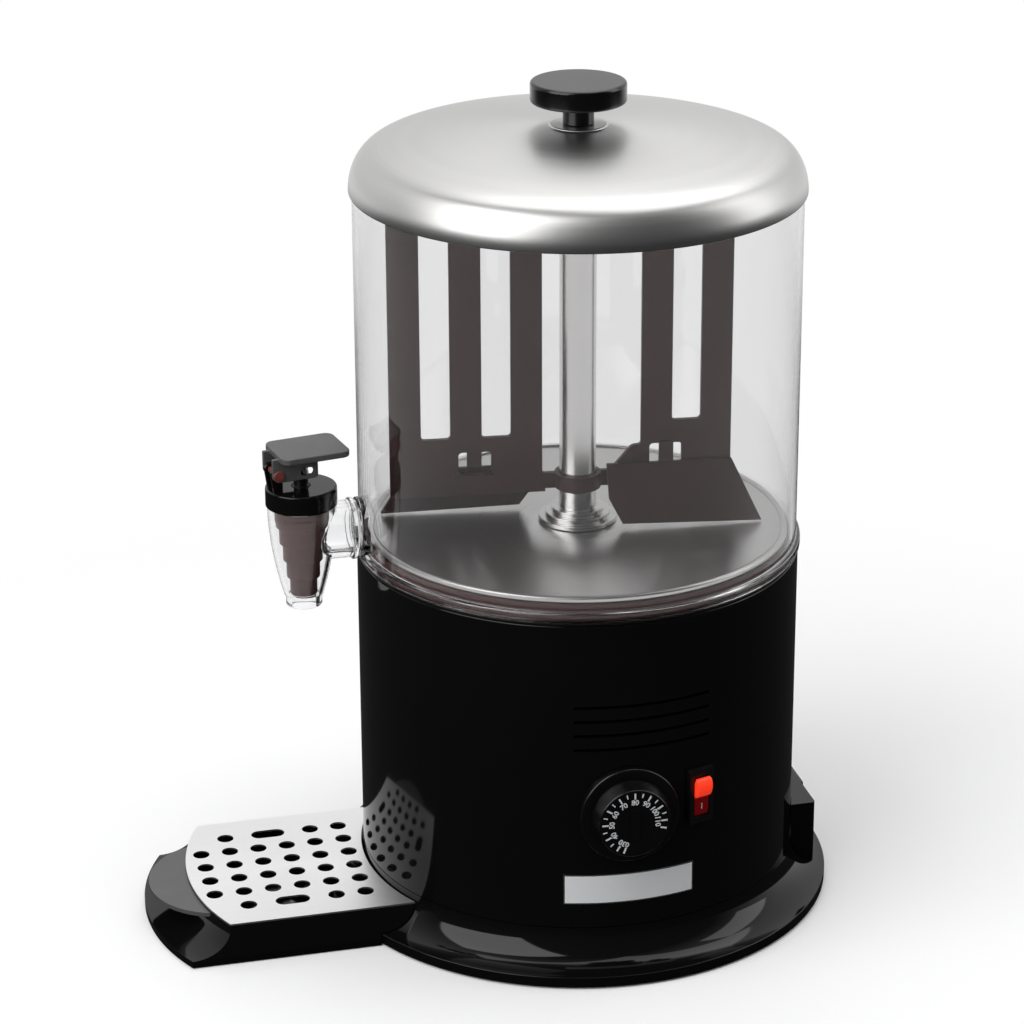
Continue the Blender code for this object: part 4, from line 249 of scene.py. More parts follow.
# Degrees clockwise from the top
DIAL_ZERO_TURN = -160.4
DIAL_FIRST_TURN = -146.7
DIAL_PITCH = 29.35
DIAL_LABEL_COUNT = 9
DIAL_END_TURN = 103.3
DIAL_GRIP_LENGTH = 0.0180
DIAL_GRIP_WIDTH = 0.0050
DIAL_GRIP_RISE = 0.0015
SWITCH_AZIMUTH = math.radians(17.8)
SWITCH_HEIGHT = 0.0972
SWITCH_FRAME_WIDTH = 0.0155
SWITCH_FRAME_HEIGHT = 0.0315
SWITCH_FRAME_PROUD = 0.0030
SWITCH_BODY_WIDTH = 0.0122
SWITCH_BODY_HEIGHT = 0.0282
SWITCH_BODY_DEPTH = 0.0240
ROCKER_WIDTH = 0.0088
ROCKER_HEIGHT = 0.0230
ROCKER_DEPTH = 0.0050
ROCKER_BULGE = 0.0030
ROCKER_WELL_DEPTH = 0.0090
ROCKER_TILT = math.radians(9)
# Length, width and corner of the printed stroke
ROCKER_STROKE = (0.0036, 0.0006, 0.0002)
LABEL_START = math.radians(-18)
LABEL_END = math.radians(16.2)
LABEL_BOTTOM = 0.0408
LABEL_TOP = 0.0583
LABEL_THICKNESS = 0.0006
LABEL_RIM = 0.0008

# Terminal box and power inlet
BOX_HALF_WIDTH = 0.0420
BOX_BACK = 0.1285
BOX_TOP = 0.0452
BOX_WALL = 0.0025
BOX_FLOOR = 0.0290
INLET_WIDTH = 0.0240
INLET_HEIGHT = 0.0120
INLET_DEPTH = 0.0110
INLET_CENTRE = 0.0360
INLET_WALL = 0.0015
INLET_FLANGE = 0.0025
INLET_FLANGE_THICKNESS = 0.0015
INLET_OPENING_PLAY = 0.0010
INLET_PIN_WIDTH = 0.0018
INLET_PIN_HEIGHT = 0.0036
INLET_PIN_PITCH = 0.0062

# Drip tray and plate
TRAY_HALF_WIDTH = 0.0600
TRAY_FOOT_HALF_WIDTH = 0.0640
TRAY_CORNER_REACH = 0.2085
TRAY_APEX_REACH = 0.2225
TRAY_FOOT_CORNER_REACH = 0.2302
TRAY_FOOT_APEX_REACH = 0.2462
TRAY_BOTTOM = 0.0005
TRAY_TOP = 0.0210
TRAY_FOOT_THICKNESS = 0.0040
TRAY_WALL = 0.0024
TRAY_FLOOR = 0.0024
TRAY_GAP = 0.0006
TRAY_ROOT = 0.0850
PULL_HALF_WIDTH = 0.0420
PULL_APEX_REACH = 0.2442
PULL_ROOT_REACH = 0.2060
PULL_TOP = 0.0200
PULL_THICKNESS = 0.0024
PLATE_THICKNESS = 0.0010
PLATE_INNER_RADIUS = 0.1226
PLATE_FLANGE_DEPTH = 0.0040
PLATE_FLANGE_LENGTH = 0.0600
PLATE_FLANGE_START = 0.1400
HOLE_RADIUS = 0.0046
HOLE_PITCH = 0.0162
HOLE_FIRST_REACH = 0.1305
HOLE_ROWS = 6
HOLE_COLUMNS = 6
SLOT_FIRST_COLUMN = 2
SLOT_LENGTH_SHARE = 0.60

# Heights and radii that follow
HOUSING_BORE = HOUSING_RADIUS - HOUSING_WALL
DECK_BOTTOM = HOUSING_TOP + GAP
DECK_TOP = DECK_BOTTOM + DECK_THICKNESS
JAR_BOTTOM = DECK_TOP + GAP
JAR_BORE = JAR_RADIUS - JAR_WALL
HEATER_PLATE_BOTTOM = HEATER_PLATE_TOP - HEATER_PLATE_THICKNESS
FLANGE_BOTTOM = HEATER_PLATE_TOP + GAP
FLANGE_STEPS_TOP = FLANGE_BOTTOM + FLANGE_STEP_COUNT * FLANGE_STEP_RISE
SLEEVE_TOP = HUB_BOTTOM - 2 * RUNNING_GAP
LID_SHOULDER_TOP = LID_RIM_HEIGHT + LID_SHOULDER_RISE * math.sin(LID_SHOULDER_TURN)
LID_APEX = LID_SHOULDER_TOP + LID_CROWN_RISE
LID_BOSS_TOP = LID_APEX + LID_BOSS_RISE
PLATE_BOTTOM = TRAY_TOP + GAP
PLATE_TOP = PLATE_BOTTOM + PLATE_THICKNESS
COLUMN_OFFSET = (TRAY_FOOT_APEX_REACH - BASE_RADIUS) / 2

# Frames of the moving groups
COLUMN = Matrix.Translation((0, COLUMN_OFFSET, 0))
STIRRER = COLUMN @ Matrix.Rotation(STIRRER_TURN, 4, "Z")
TAP = COLUMN @ Matrix.Translation((0, -TAP_REACH, 0)) @ Matrix.Rotation(TAP_TURN, 4, "Z")
LEVER = TAP @ Matrix.Translation((0, -PIVOT_REACH, PIVOT_HEIGHT))


def radial(azimuth, height):
    """A frame on the column axis whose own +Z points outward at this azimuth."""
    turned_out = Matrix.Rotation(azimuth, 4, "Z") @ Matrix.Rotation(QUARTER_TURN, 4, "Y")
    return COLUMN @ Matrix.Translation((0, 0, height)) @ turned_out


DIAL = radial(DIAL_AZIMUTH, DIAL_HEIGHT)
SWITCH = radial(SWITCH_AZIMUTH, SWITCH_HEIGHT)
SPOUT = radial(-QUARTER_TURN, STEM_HEIGHT)
ROCKER_REACH = HOUSING_RADIUS + SWITCH_FRAME_PROUD - ROCKER_DEPTH / 4
ROCKER = SWITCH @ Matrix.Translation((0, 0, ROCKER_REACH)) @ Matrix.Rotation(ROCKER_TILT, 4, "Y")


# Materials


def coloured(sockets):
    return [socket for socket in sockets if socket.type == "RGBA"]


class Graph:
    """A node tree with short calls for the nodes in use."""

    def __init__(self, tree):
        self.tree = tree

    def node(self, kind, inputs=(), **settings):
        made = self.tree.nodes.new(kind)
        for setting, value in settings.items():
            setattr(made, setting, value)
        for socket, value in dict(inputs).items():
            if isinstance(value, bpy.types.NodeSocket):
                self.tree.links.new(value, made.inputs[socket])
            else:
                made.inputs[socket].default_value = value
        return made

    def math(self, operation, *values):
        return self.node("ShaderNodeMath", enumerate(values), operation=operation).outputs[0]

    def ranged(self, source, low, high, from_low=0.3, from_high=0.7):
        inputs = {"Value": source, "From Min": from_low, "From Max": from_high, "To Min": low, "To Max": high}
        return self.node("ShaderNodeMapRange", inputs).outputs["Result"]

    def mixed(self, share, first, second):
        made = self.node("ShaderNodeMix", {"Factor": share}, data_type="RGBA")
        for target, value in zip(coloured(made.inputs), (first, second)):
            if isinstance(value, bpy.types.NodeSocket):
                self.tree.links.new(value, target)
            else:
                target.default_value = (*value, 1)
        return coloured(made.outputs)[0]

    def length_of(self, first, second):
        squares = [self.math("MULTIPLY", value, value) for value in (first, second)]
        return self.math("SQRT", self.math("ADD", *squares))


class Surface(Graph):
    """A Principled material whose colour, roughness and bump come from procedural nodes."""

    def __init__(self, name):
        self.material = bpy.data.materials.new(name)
        self.material.use_nodes = True
        super().__init__(self.material.node_tree)
        self.shader = self.tree.nodes["Principled BSDF"]
        self.place = self.node("ShaderNodeTexCoord").outputs["Object"]

    def fixed(self, **values):
        """Sets plain values on the shader's own sockets."""
        for socket, value in values.items():
            self.shader.inputs[socket.replace("_", " ")].default_value = value
        return self

    def feed(self, socket, source):
        self.tree.links.new(source, self.shader.inputs[socket])

    def stretched(self, scale, turn=(0, 0, 0)):
        mapped = self.node("ShaderNodeMapping", {"Vector": self.place, "Scale": scale, "Rotation": turn})
        return mapped.outputs["Vector"]

    def noise(self, scale, detail=3.0, place=None, roughness=0.5):
        inputs = {"Vector": place or self.place, "Scale": scale, "Detail": detail, "Roughness": roughness}
        return self.node("ShaderNodeTexNoise", inputs).outputs["Fac"]

    def bumped(self, height, distance):
        bump = self.node("ShaderNodeBump", {"Height": height, "Distance": distance, "Strength": 1.0})
        self.feed("Normal", bump.outputs["Normal"])

    def axis_place(self, scale, centre=(0, COLUMN_OFFSET)):
        """Radius, zero and height about an upright axis, so that a noise of it runs in rings."""
        split = self.node("ShaderNodeSeparateXYZ", {"Vector": self.place}).outputs
        offsets = [self.math("SUBTRACT", split[axis], middle) for axis, middle in zip("XY", centre)]
        radius = self.length_of(*offsets)
        joined = self.node("ShaderNodeCombineXYZ", {"X": radius, "Y": 0.0, "Z": split["Z"]}).outputs[0]
        return self.node("ShaderNodeMapping", {"Vector": joined, "Scale": (scale, 1, scale)}).outputs[0]


def plastic(name, colour, roughness, spread=0.10, grain=1600, grain_depth=0.0000002, ior=1.5, gloss=0.5):
    """Moulded plastic: faint clouding, fine grain and slight smears in the gloss."""
    made = Surface(name)
    cloud = made.noise(14)
    darker = tuple(value * (1 - spread) for value in colour)
    lighter = tuple(value * (1 + spread) for value in colour)
    made.feed("Base Color", made.mixed(made.ranged(cloud, 0, 1), darker, lighter))
    smear = made.noise(38, 4)
    made.feed("Roughness", made.ranged(smear, roughness * 0.90, roughness * 1.12))
    made.bumped(made.noise(grain, 2), grain_depth)
    return made.fixed(IOR=ior, Specular_IOR_Level=gloss)


def brushed(name, colour, roughness, streaks, anisotropy, tangent_axis=None, depth=0.0000008):
    """Brushed metal: streaks that vary the roughness, the colour and the height."""
    made = Surface(name)
    place = streaks(made)
    fine = made.noise(1.0, 3, place, 0.6)
    cloud = made.noise(9, 3)
    darker = tuple(value * 0.965 for value in colour)
    made.feed("Base Color", made.mixed(made.ranged(fine, 0, 1), darker, colour))
    streak = made.ranged(fine, -roughness * 0.07, roughness * 0.07)
    level = made.ranged(cloud, roughness * 0.95, roughness * 1.06)
    made.feed("Roughness", made.math("ADD", streak, level))
    made.bumped(fine, depth)
    made.fixed(Metallic=1.0, Anisotropic=anisotropy)
    if tangent_axis:
        tangent = made.node("ShaderNodeTangent", direction_type="RADIAL", axis=tangent_axis)
        made.feed("Tangent", tangent.outputs[0])
    return made


def clear(name, colour, roughness=0.015, ior=1.49):
    made = Surface(name)
    haze = made.noise(22, 4)
    made.feed("Roughness", made.ranged(haze, roughness * 0.4, roughness * 1.6))
    made.bumped(made.noise(60, 2), 0.000004)
    faint = tuple(value * 0.99 for value in colour)
    made.feed("Base Color", made.mixed(made.noise(30), faint, colour))
    return made.fixed(IOR=ior, Transmission_Weight=1.0)


def rings(scale, centre=(0, COLUMN_OFFSET)):
    return lambda made: made.axis_place(scale, centre)


def lines(scale, turn=(0, 0, 0)):
    return lambda made: made.stretched(scale, turn)


def lens():
    """A lit red lens; its upper half is painted bright and glows harder, a painted highlight, and the pressed lower
    half is painted dark, a painted shade.
    """
    made = Surface("red_lens_painted_highlight")
    height = made.node("ShaderNodeSeparateXYZ", {"Vector": made.place}).outputs["Z"]
    # Height mask of the painted highlight on the upper half and the painted shade on the lower half
    share = made.ranged(height, 0, 1, SWITCH_HEIGHT - 0.0014, SWITCH_HEIGHT + 0.0010)
    painted_highlight_share = made.math("MULTIPLY", share, made.ranged(made.noise(260, 2), 0.93, 1.03))
    made.feed("Base Color", made.mixed(painted_highlight_share, (0.16, 0.002, 0.004), (0.90, 0.05, 0.02)))
    made.feed("Emission Color", made.mixed(painted_highlight_share, (0.10, 0.0, 0.001), (1.0, 0.045, 0.015)))
    made.feed("Emission Strength", made.ranged(painted_highlight_share, 0.30, 0.62, 0, 1))
    made.bumped(made.noise(700, 2), 0.000004)
    return made.fixed(Roughness=0.18, IOR=1.49)


black_gloss = plastic("gloss_black", (0.0034, 0.0034, 0.0036), 0.07, ior=1.45, gloss=0.40)
black_satin = plastic("satin_black", (0.0040, 0.0040, 0.0042), 0.30)
black_panel = plastic("panel_black", (0.0030, 0.0030, 0.0032), 0.24)
black_knob = plastic("knob_black", (0.0025, 0.0025, 0.0027), 0.20)
# Black plastic painted dark grey, a painted sheen for the grey reflections on the lever top and the tray's pull lip
black_with_painted_sheen = plastic("black_with_painted_sheen", (0.085, 0.085, 0.088), 0.50, gloss=0.8)
rubber = plastic("black_rubber_feet", (0.018, 0.018, 0.018), 0.75, grain_depth=0.00001)
brown = plastic("brown_nylon", (0.060, 0.026, 0.023), 0.40, gloss=0.30)
silicone = plastic("brown_silicone_rubber", (0.120, 0.060, 0.058), 0.45, gloss=0.35)
pin_red = plastic("red_brown_pin", (0.19, 0.045, 0.035), 0.35)
white_mark = plastic("white_print", (0.82, 0.84, 0.86), 0.45)
rocker_mark = plastic("pale_print", (0.85, 0.55, 0.55), 0.40)
label_face = plastic("bare_label", (0.92, 0.94, 0.94), 0.40, spread=0.02)
label_edge = brushed("label_rim", (0.50, 0.51, 0.52), 0.32, lines((60, 60, 2600)), 0.3)
terminal_white = plastic("terminal_white", (0.70, 0.70, 0.68), 0.45)
jar_clear = clear("clear_jar", (0.900, 0.900, 0.905))
tap_clear = clear("clear_tap", (0.975, 0.978, 0.980), 0.03)
lid_steel = brushed("spun_lid_steel", (0.62, 0.615, 0.61), 0.34, rings(900), 0.55, "Z")
plate_steel = brushed("spun_plate_steel", (0.66, 0.65, 0.64), 0.29, rings(1400), 0.75, "Z", depth=0.0000001)
column_steel = brushed("ground_tube_steel", (0.70, 0.69, 0.68), 0.24, rings(1400), 0.40, "Z", depth=0.0000001)
drip_steel = brushed("brushed_sheet_steel", (0.94, 0.94, 0.945), 0.36, lines((1800, 40, 1800)), 0.3)
plain_steel = brushed("plain_steel_sheet", (0.50, 0.50, 0.50), 0.34, lines((40, 900, 900)), 0.2)
pin_steel = brushed("bright_pin_steel", (0.70, 0.70, 0.70), 0.22, lines((900, 900, 60)), 0.1)
brass = brushed("turned_brass", (0.72, 0.50, 0.22), 0.28, rings(2400), 0.3)
red_lens = lens()

# Meshes


def arc(centre, radii, start, end, count):
    """Points on an ellipse arc, both ends included."""
    turns = [start + (end - start) * i / (count - 1) for i in range(count)]
    return [(centre[0] + radii[0] * math.cos(t), centre[1] + radii[1] * math.sin(t)) for t in turns]


def softened(points, reach, closed=True, steps=4):
    """The outline with each corner rounded. A point may give its own reach as a third value."""
    soft = []
    last = len(points) - 1
    for i, point in enumerate(points):
        own = point[2] if len(point) > 2 else reach
        if own == 0 or (not closed and i in (0, last)):
            soft.append((point[0], point[1]))
            continue
        corner = Vector(point[:2])
        before = Vector(points[i - 1][:2]) - corner
        after = Vector(points[(i + 1) % len(points)][:2]) - corner
        cut_back = min(own, 0.45 * before.length, 0.45 * after.length)
        start = corner + before.normalized() * cut_back
        end = corner + after.normalized() * cut_back
        for step in range(steps + 1):
            s = step / steps
            soft.append(tuple(start * (1 - s) ** 2 + corner * 2 * s * (1 - s) + end * s * s))
    return soft


def plain(points):
    """Points whose corners stay as they are."""
    return [(x, y, 0) for x, y in points]


def rounded_rectangle(width, height, corner, centre=(0, 0), count=8):
    outline = []
    for quarter, (side_x, side_y) in enumerate(((1, 1), (-1, 1), (-1, -1), (1, -1))):
        middle = (centre[0] + side_x * (width / 2 - corner), centre[1] + side_y * (height / 2 - corner))
        start = quarter * QUARTER_TURN
        outline += arc(middle, (corner, corner), start, start + QUARTER_TURN, count)
    return outline


def turned_mesh(profile, segments):
    """Turns the profile, points of radius and height, about +Z.

    It starts and ends on the axis, or it is a closed loop.
    """
    mesh = bmesh.new()
    loop = profile[0][0] > 1e-7
    columns = []
    for radius, height in profile:
        if radius <= 1e-7:
            columns.append([mesh.verts.new((0, 0, height))] * segments)
        else:
            turns = [FULL_TURN * i / segments for i in range(segments)]
            columns.append([mesh.verts.new((radius * math.cos(t), radius * math.sin(t), height)) for t in turns])
    pairs = list(zip(columns, columns[1:]))
    if loop:
        pairs.append((columns[-1], columns[0]))
    for first, second in pairs:
        for i in range(segments):
            j = (i + 1) % segments
            corners = []
            for vertex in (first[i], first[j], second[j], second[i]):
                if vertex not in corners:
                    corners.append(vertex)
            if len(corners) > 2:
                mesh.faces.new(corners)
    return mesh


def extrude(mesh, outline, bottom, top):
    """Adds a prism of the outline to the mesh."""
    face = mesh.faces.new([mesh.verts.new((x, y, bottom)) for x, y in outline])
    lifted = bmesh.ops.extrude_face_region(mesh, geom=[face])
    moved = [item for item in lifted["geom"] if isinstance(item, bmesh.types.BMVert)]
    bmesh.ops.translate(mesh, verts=moved, vec=(0, 0, top - bottom))
    return mesh


def prism_mesh(outline, bottom, top):
    return extrude(bmesh.new(), outline, bottom, top)


def side_prism_mesh(outline, near, far):
    """A prism whose outline lies in the XZ plane and which runs along Y."""
    mesh = prism_mesh(outline, -far, -near)
    bmesh.ops.rotate(mesh, verts=mesh.verts, matrix=Matrix.Rotation(QUARTER_TURN, 3, "X"))
    return mesh


def cross_prism_mesh(outline, near, far):
    """A prism whose outline lies in the YZ plane and which runs along X."""
    mesh = prism_mesh(outline, near, far)
    turn = Matrix(((0, 0, 1), (1, 0, 0), (0, 1, 0)))
    bmesh.ops.transform(mesh, verts=mesh.verts, matrix=turn.to_4x4())
    return mesh


def block_mesh(low, high):
    return prism_mesh([(low[0], low[1]), (high[0], low[1]), (high[0], high[1]), (low[0], high[1])], low[2], high[2])


def rod_mesh(radius, bottom, top, segments=SMALL_SEGMENTS):
    return turned_mesh([(0, bottom), (radius, bottom), (radius, top), (0, top)], segments)


def loft_mesh(rows):
    """Skins rows of equal count, bottom to top, and closes both ends."""
    mesh = bmesh.new()
    made = [[mesh.verts.new(point) for point in row] for row in rows]
    for lower, upper in zip(made, made[1:]):
        for i, start in enumerate(lower):
            j = (i + 1) % len(lower)
            mesh.faces.new((start, lower[j], upper[j], upper[i]))
    mesh.faces.new(reversed(made[0]))
    mesh.faces.new(made[-1])
    return mesh


def moved(mesh, matrix):
    bmesh.ops.transform(mesh, verts=mesh.verts, matrix=matrix)
    return mesh


def as_object(name, mesh, matrix):
    moved(mesh, matrix)
    bmesh.ops.remove_doubles(mesh, verts=mesh.verts, dist=1e-7)
    bmesh.ops.recalc_face_normals(mesh, faces=mesh.faces)
    if mesh.calc_volume(signed=True) < 0:
        bmesh.ops.reverse_faces(mesh, faces=mesh.faces)
    data = bpy.data.meshes.new(name)
    mesh.to_mesh(data)
    mesh.free()
    made = bpy.data.objects.new(name, data)
    bpy.context.scene.collection.objects.link(made)
    return made


def absorb(mesh, data):
    """Adds the mesh data to the mesh and removes the data."""
    mesh.from_mesh(data)
    bpy.data.meshes.remove(data)


def applied(target):
    """Gives the target the mesh that its modifiers make, and clears them."""
    bpy.context.view_layer.update()
    graph = bpy.context.evaluated_depsgraph_get()
    result = bpy.data.meshes.new_from_object(target.evaluated_get(graph))
    old = target.data
    target.modifiers.clear()
    target.data = result
    bpy.data.meshes.remove(old)


def carved(target, matrix, changes):
    """Cuts and joins the meshes of the changes, pairs of operation and mesh, in their order."""
    helpers = []
    for number, (operation, mesh) in enumerate(changes):
        helper = as_object(f"helper_{number}", mesh, matrix)
        change = target.modifiers.new(f"change_{number}", "BOOLEAN")
        change.operation = operation
        change.solver = "EXACT"
        change.object = helper
        helpers.append(helper)
    applied(target)
    for helper in helpers:
        bpy.data.meshes.remove(helper.data)


def dressed(target, surface, body, replaces=(), edge=0.0, sharp=32, edge_segments=2):
    """Shades, finishes and mounts a piece."""
    target.data.materials.clear()
    target.data.materials.append(surface.material)
    if edge:
        change = target.modifiers.new("edge", "BEVEL")
        change.width = edge
        change.segments = edge_segments
        change.limit_method = "ANGLE"
        change.angle_limit = math.radians(40)
        change.harden_normals = False
        change.use_clamp_overlap = True
        applied(target)
    target.data.shade_smooth()
    target.data.set_sharp_from_angle(angle=math.radians(sharp))
    weigh = target.modifiers.new("normals", "WEIGHTED_NORMAL")
    weigh.keep_sharp = True
    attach(target, body)
    if replaces:
        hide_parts(*replaces)


def turned(name, profile, segments, matrix=COLUMN):
    return as_object(name, turned_mesh(profile, segments), matrix)


# Base


def flare(offset, count=28):
    width = BASE_RADIUS - HOUSING_RADIUS - offset
    rise = SKIRT_TOP - RIM_TOP - offset
    centre = (BASE_RADIUS + offset, SKIRT_TOP)
    return arc(centre, (width + offset, rise), -QUARTER_TURN, -math.pi, count)


def base_clearance(offset):
    rim = BASE_RADIUS + offset
    wall = HOUSING_RADIUS + offset
    profile = [(0, -OVERRUN), (rim, -OVERRUN)] + flare(offset) + [(wall, HOUSING_TOP), (0, HOUSING_TOP)]
    return turned_mesh(profile, LARGE_SEGMENTS)


def inlet_opening():
    half_width = INLET_WIDTH / 2 + INLET_OPENING_PLAY
    half_height = INLET_HEIGHT / 2 + INLET_OPENING_PLAY
    low = (-half_width, HOUSING_BORE - OVERRUN, INLET_CENTRE - half_height)
    return block_mesh(low, (half_width, HOUSING_RADIUS + OVERRUN, INLET_CENTRE + half_height))


def sector(inner, outer, start, end, count=49):
    return arc((0, 0), (outer, outer), start, end, count) + arc((0, 0), (inner, inner), end, start, count)


def make_base():
    collar = HOUSING_BORE - GAP
    collar_bore = collar - COLLAR_WALL
    rim_bore = BASE_RADIUS - RIM_WALL
    ceiling = RIM_TOP - RIM_WALL / 2 - RIM_CLEARANCE
    inner = arc((rim_bore, SKIRT_TOP), (rim_bore - collar_bore, SKIRT_TOP - ceiling), -math.pi, -QUARTER_TURN, 20)
    curve = flare(0)
    profile = softened(
        [(BASE_RADIUS, RIM_CLEARANCE), (*curve[0], 0.0012)] + plain(curve[1:])
        + [(collar, SKIRT_TOP), (collar, SKIRT_TOP + COLLAR_HEIGHT), (collar_bore, SKIRT_TOP + COLLAR_HEIGHT)]
        + plain(inner) + [(rim_bore, RIM_CLEARANCE)],
        0.0007,
    )
    skirt = turned("flared_skirt", profile, LARGE_SEGMENTS)
    carved(skirt, COLUMN, [("DIFFERENCE", inlet_opening())])
    dressed(skirt, black_gloss, "machine", ["base_skirt"])

    bottom = SKIRT_TOP + GAP
    wall = softened([
        (HOUSING_RADIUS, bottom), (HOUSING_RADIUS, HOUSING_TOP, 0.0010),
        (HOUSING_BORE, HOUSING_TOP), (HOUSING_BORE, bottom),
    ], 0.0004)
    shell = turned("housing_drum", wall, LARGE_SEGMENTS)
    vents = bmesh.new()
    for i in range(VENT_COUNT):
        middle = VENT_LOW_HEIGHT + i * VENT_PITCH
        outline = sector(HOUSING_BORE - OVERRUN, HOUSING_RADIUS + OVERRUN, VENT_START, VENT_END)
        extrude(vents, outline, middle - VENT_SLOT / 2, middle + VENT_SLOT / 2)
    carved(shell, COLUMN, [("DIFFERENCE", vents), ("DIFFERENCE", inlet_opening())])
    dressed(shell, black_gloss, "machine", ["housing_shell"])

    spigot = HOUSING_BORE - GAP
    spigot_bore = spigot - DECK_SPIGOT_WALL
    spigot_bottom = DECK_BOTTOM - DECK_SPIGOT_DEPTH
    deck = softened([
        (DECK_BORE_RADIUS, DECK_BOTTOM), (DECK_BORE_RADIUS, DECK_TOP), (HOUSING_RADIUS, DECK_TOP),
        (HOUSING_RADIUS, DECK_BOTTOM), (spigot, DECK_BOTTOM), (spigot, spigot_bottom),
        (spigot_bore, spigot_bottom), (spigot_bore, DECK_BOTTOM),
    ], 0.0004)
    dressed(turned("deck_seat", deck, LARGE_SEGMENTS), black_satin, "machine", ["deck_ring"])


# Heater plate, flange and column


def make_heater():
    bore = COLUMN_STUB_RADIUS + GAP
    bead_middle = (HEATER_PLATE_RADIUS - BEAD_WIDTH / 2, HEATER_PLATE_TOP)
    bead = arc(bead_middle, (BEAD_WIDTH / 2, BEAD_RISE), 0, math.pi, 14)
    under = [(bore, HEATER_PLATE_BOTTOM), (HEATER_PLATE_RADIUS, HEATER_PLATE_BOTTOM)]
    profile = softened(under + plain(bead) + [(bore, HEATER_PLATE_TOP)], 0.0002)
    plate = turned("spun_heater_plate", profile, LARGE_SEGMENTS)
    dressed(plate, plate_steel, "machine", ["heater_plate"])
    outer = JAR_BORE - GAP
    inner = outer - GASKET_WIDTH
    bottom = DECK_TOP + GAP
    top = HEATER_PLATE_BOTTOM - GAP
    middle = (bottom + top) / 2
    ring = softened([
        (inner, bottom), (outer, bottom), (outer, middle - 0.0006), (outer - 0.0007, middle),
        (outer, middle + 0.0006), (outer, top), (inner, top),
    ], 0.0008)
    dressed(turned("silicone_gasket", ring, LARGE_SEGMENTS), silicone, "machine", ["plate_gasket"])
    steps = [(bore, FLANGE_BOTTOM, 0)]
    for i in range(FLANGE_STEP_COUNT):
        share = i / (FLANGE_STEP_COUNT - 1)
        radius = FLANGE_RADIUS + (FLANGE_TOP_RADIUS - FLANGE_RADIUS) * share
        low = FLANGE_BOTTOM + i * FLANGE_STEP_RISE
        steps += [(radius, low), (radius, low + FLANGE_STEP_RISE)]
    steps += [(SLEEVE_RADIUS, FLANGE_STEPS_TOP), (SLEEVE_RADIUS, SLEEVE_TOP), (bore, SLEEVE_TOP)]
    flange = turned("stepped_flange", softened(steps, 0.0005), MEDIUM_SEGMENTS)
    dressed(flange, column_steel, "machine", ["centre_flange"])
    shoulder = SLEEVE_TOP + GAP
    bush_bore = BUSH_RADIUS + GAP
    tube = softened([
        (bush_bore, COLUMN_STUB_BOTTOM), (COLUMN_STUB_RADIUS, COLUMN_STUB_BOTTOM), (COLUMN_STUB_RADIUS, shoulder),
        (COLUMN_RADIUS, shoulder), (COLUMN_RADIUS, COLUMN_TOP), (bush_bore, COLUMN_TOP),
        (bush_bore, COLUMN_TOP - BUSH_LENGTH), (COLUMN_BORE_RADIUS, COLUMN_TOP - BUSH_LENGTH),
        (COLUMN_BORE_RADIUS, COLUMN_STUB_BOTTOM + BUSH_LENGTH), (bush_bore, COLUMN_STUB_BOTTOM + BUSH_LENGTH),
    ], 0.0004)
    dressed(turned("ground_column", tube, MEDIUM_SEGMENTS), column_steel, "machine", ["column_tube"])


# Jar and tap


def make_jar():
    lip_top = JAR_BOTTOM + JAR_LIP_HEIGHT
    profile = softened([
        (JAR_BORE, JAR_BOTTOM), (JAR_LIP_RADIUS, JAR_BOTTOM, 0.0011), (JAR_LIP_RADIUS, lip_top, 0.0010),
        (JAR_RADIUS, lip_top + 0.0006, 0.0010), (JAR_RADIUS, JAR_TOP, 0.0009), (JAR_BORE, JAR_TOP, 0.0009),
    ], 0.0006)
    jar = turned("clear_round_jar", profile, LARGE_SEGMENTS)
    face = JAR_RADIUS + JAR_BOSS_PROUD
    middle = JAR_RADIUS - JAR_WALL / 2
    boss = turned_mesh([
        (0, middle), (JAR_BOSS_RADIUS, middle), (JAR_BOSS_RADIUS, face - 0.0008),
        (JAR_BOSS_RADIUS - 0.0003, face - 0.0002), (JAR_BOSS_RADIUS - 0.0008, face), (0, face),
    ], MEDIUM_SEGMENTS)
    bore = rod_mesh(STEM_BORE_RADIUS, JAR_BORE - OVERRUN, face + OVERRUN, MEDIUM_SEGMENTS)
    carved(jar, SPOUT, [("UNION", boss), ("DIFFERENCE", bore)])
    dressed(jar, jar_clear, "machine", ["jar"], sharp=40)
    seal_bottom = face + GAP
    seal_top = seal_bottom + STEM_SEAL_THICKNESS
    ring = softened([
        (STEM_BORE_RADIUS, seal_bottom), (STEM_RADIUS, seal_bottom),
        (STEM_RADIUS, seal_top), (STEM_BORE_RADIUS, seal_top),
    ], 0.0003)
    seal = turned("clear_stem_seal", ring, MEDIUM_SEGMENTS, SPOUT)
    dressed(seal, tap_clear, "machine", ["stem_seal"])
    return TAP_REACH - (seal_top + GAP)


def tap_radius(height):
    foot = OUTLET_HEIGHT + OUTLET_LIP_HEIGHT
    share = max(0, (height - foot) / (TAP_SHOULDER_HEIGHT - foot))
    return OUTLET_RADIUS + (TAP_TOP_RADIUS - OUTLET_RADIUS) * math.sin(share * QUARTER_TURN) ** TAP_BULGE_SHARE


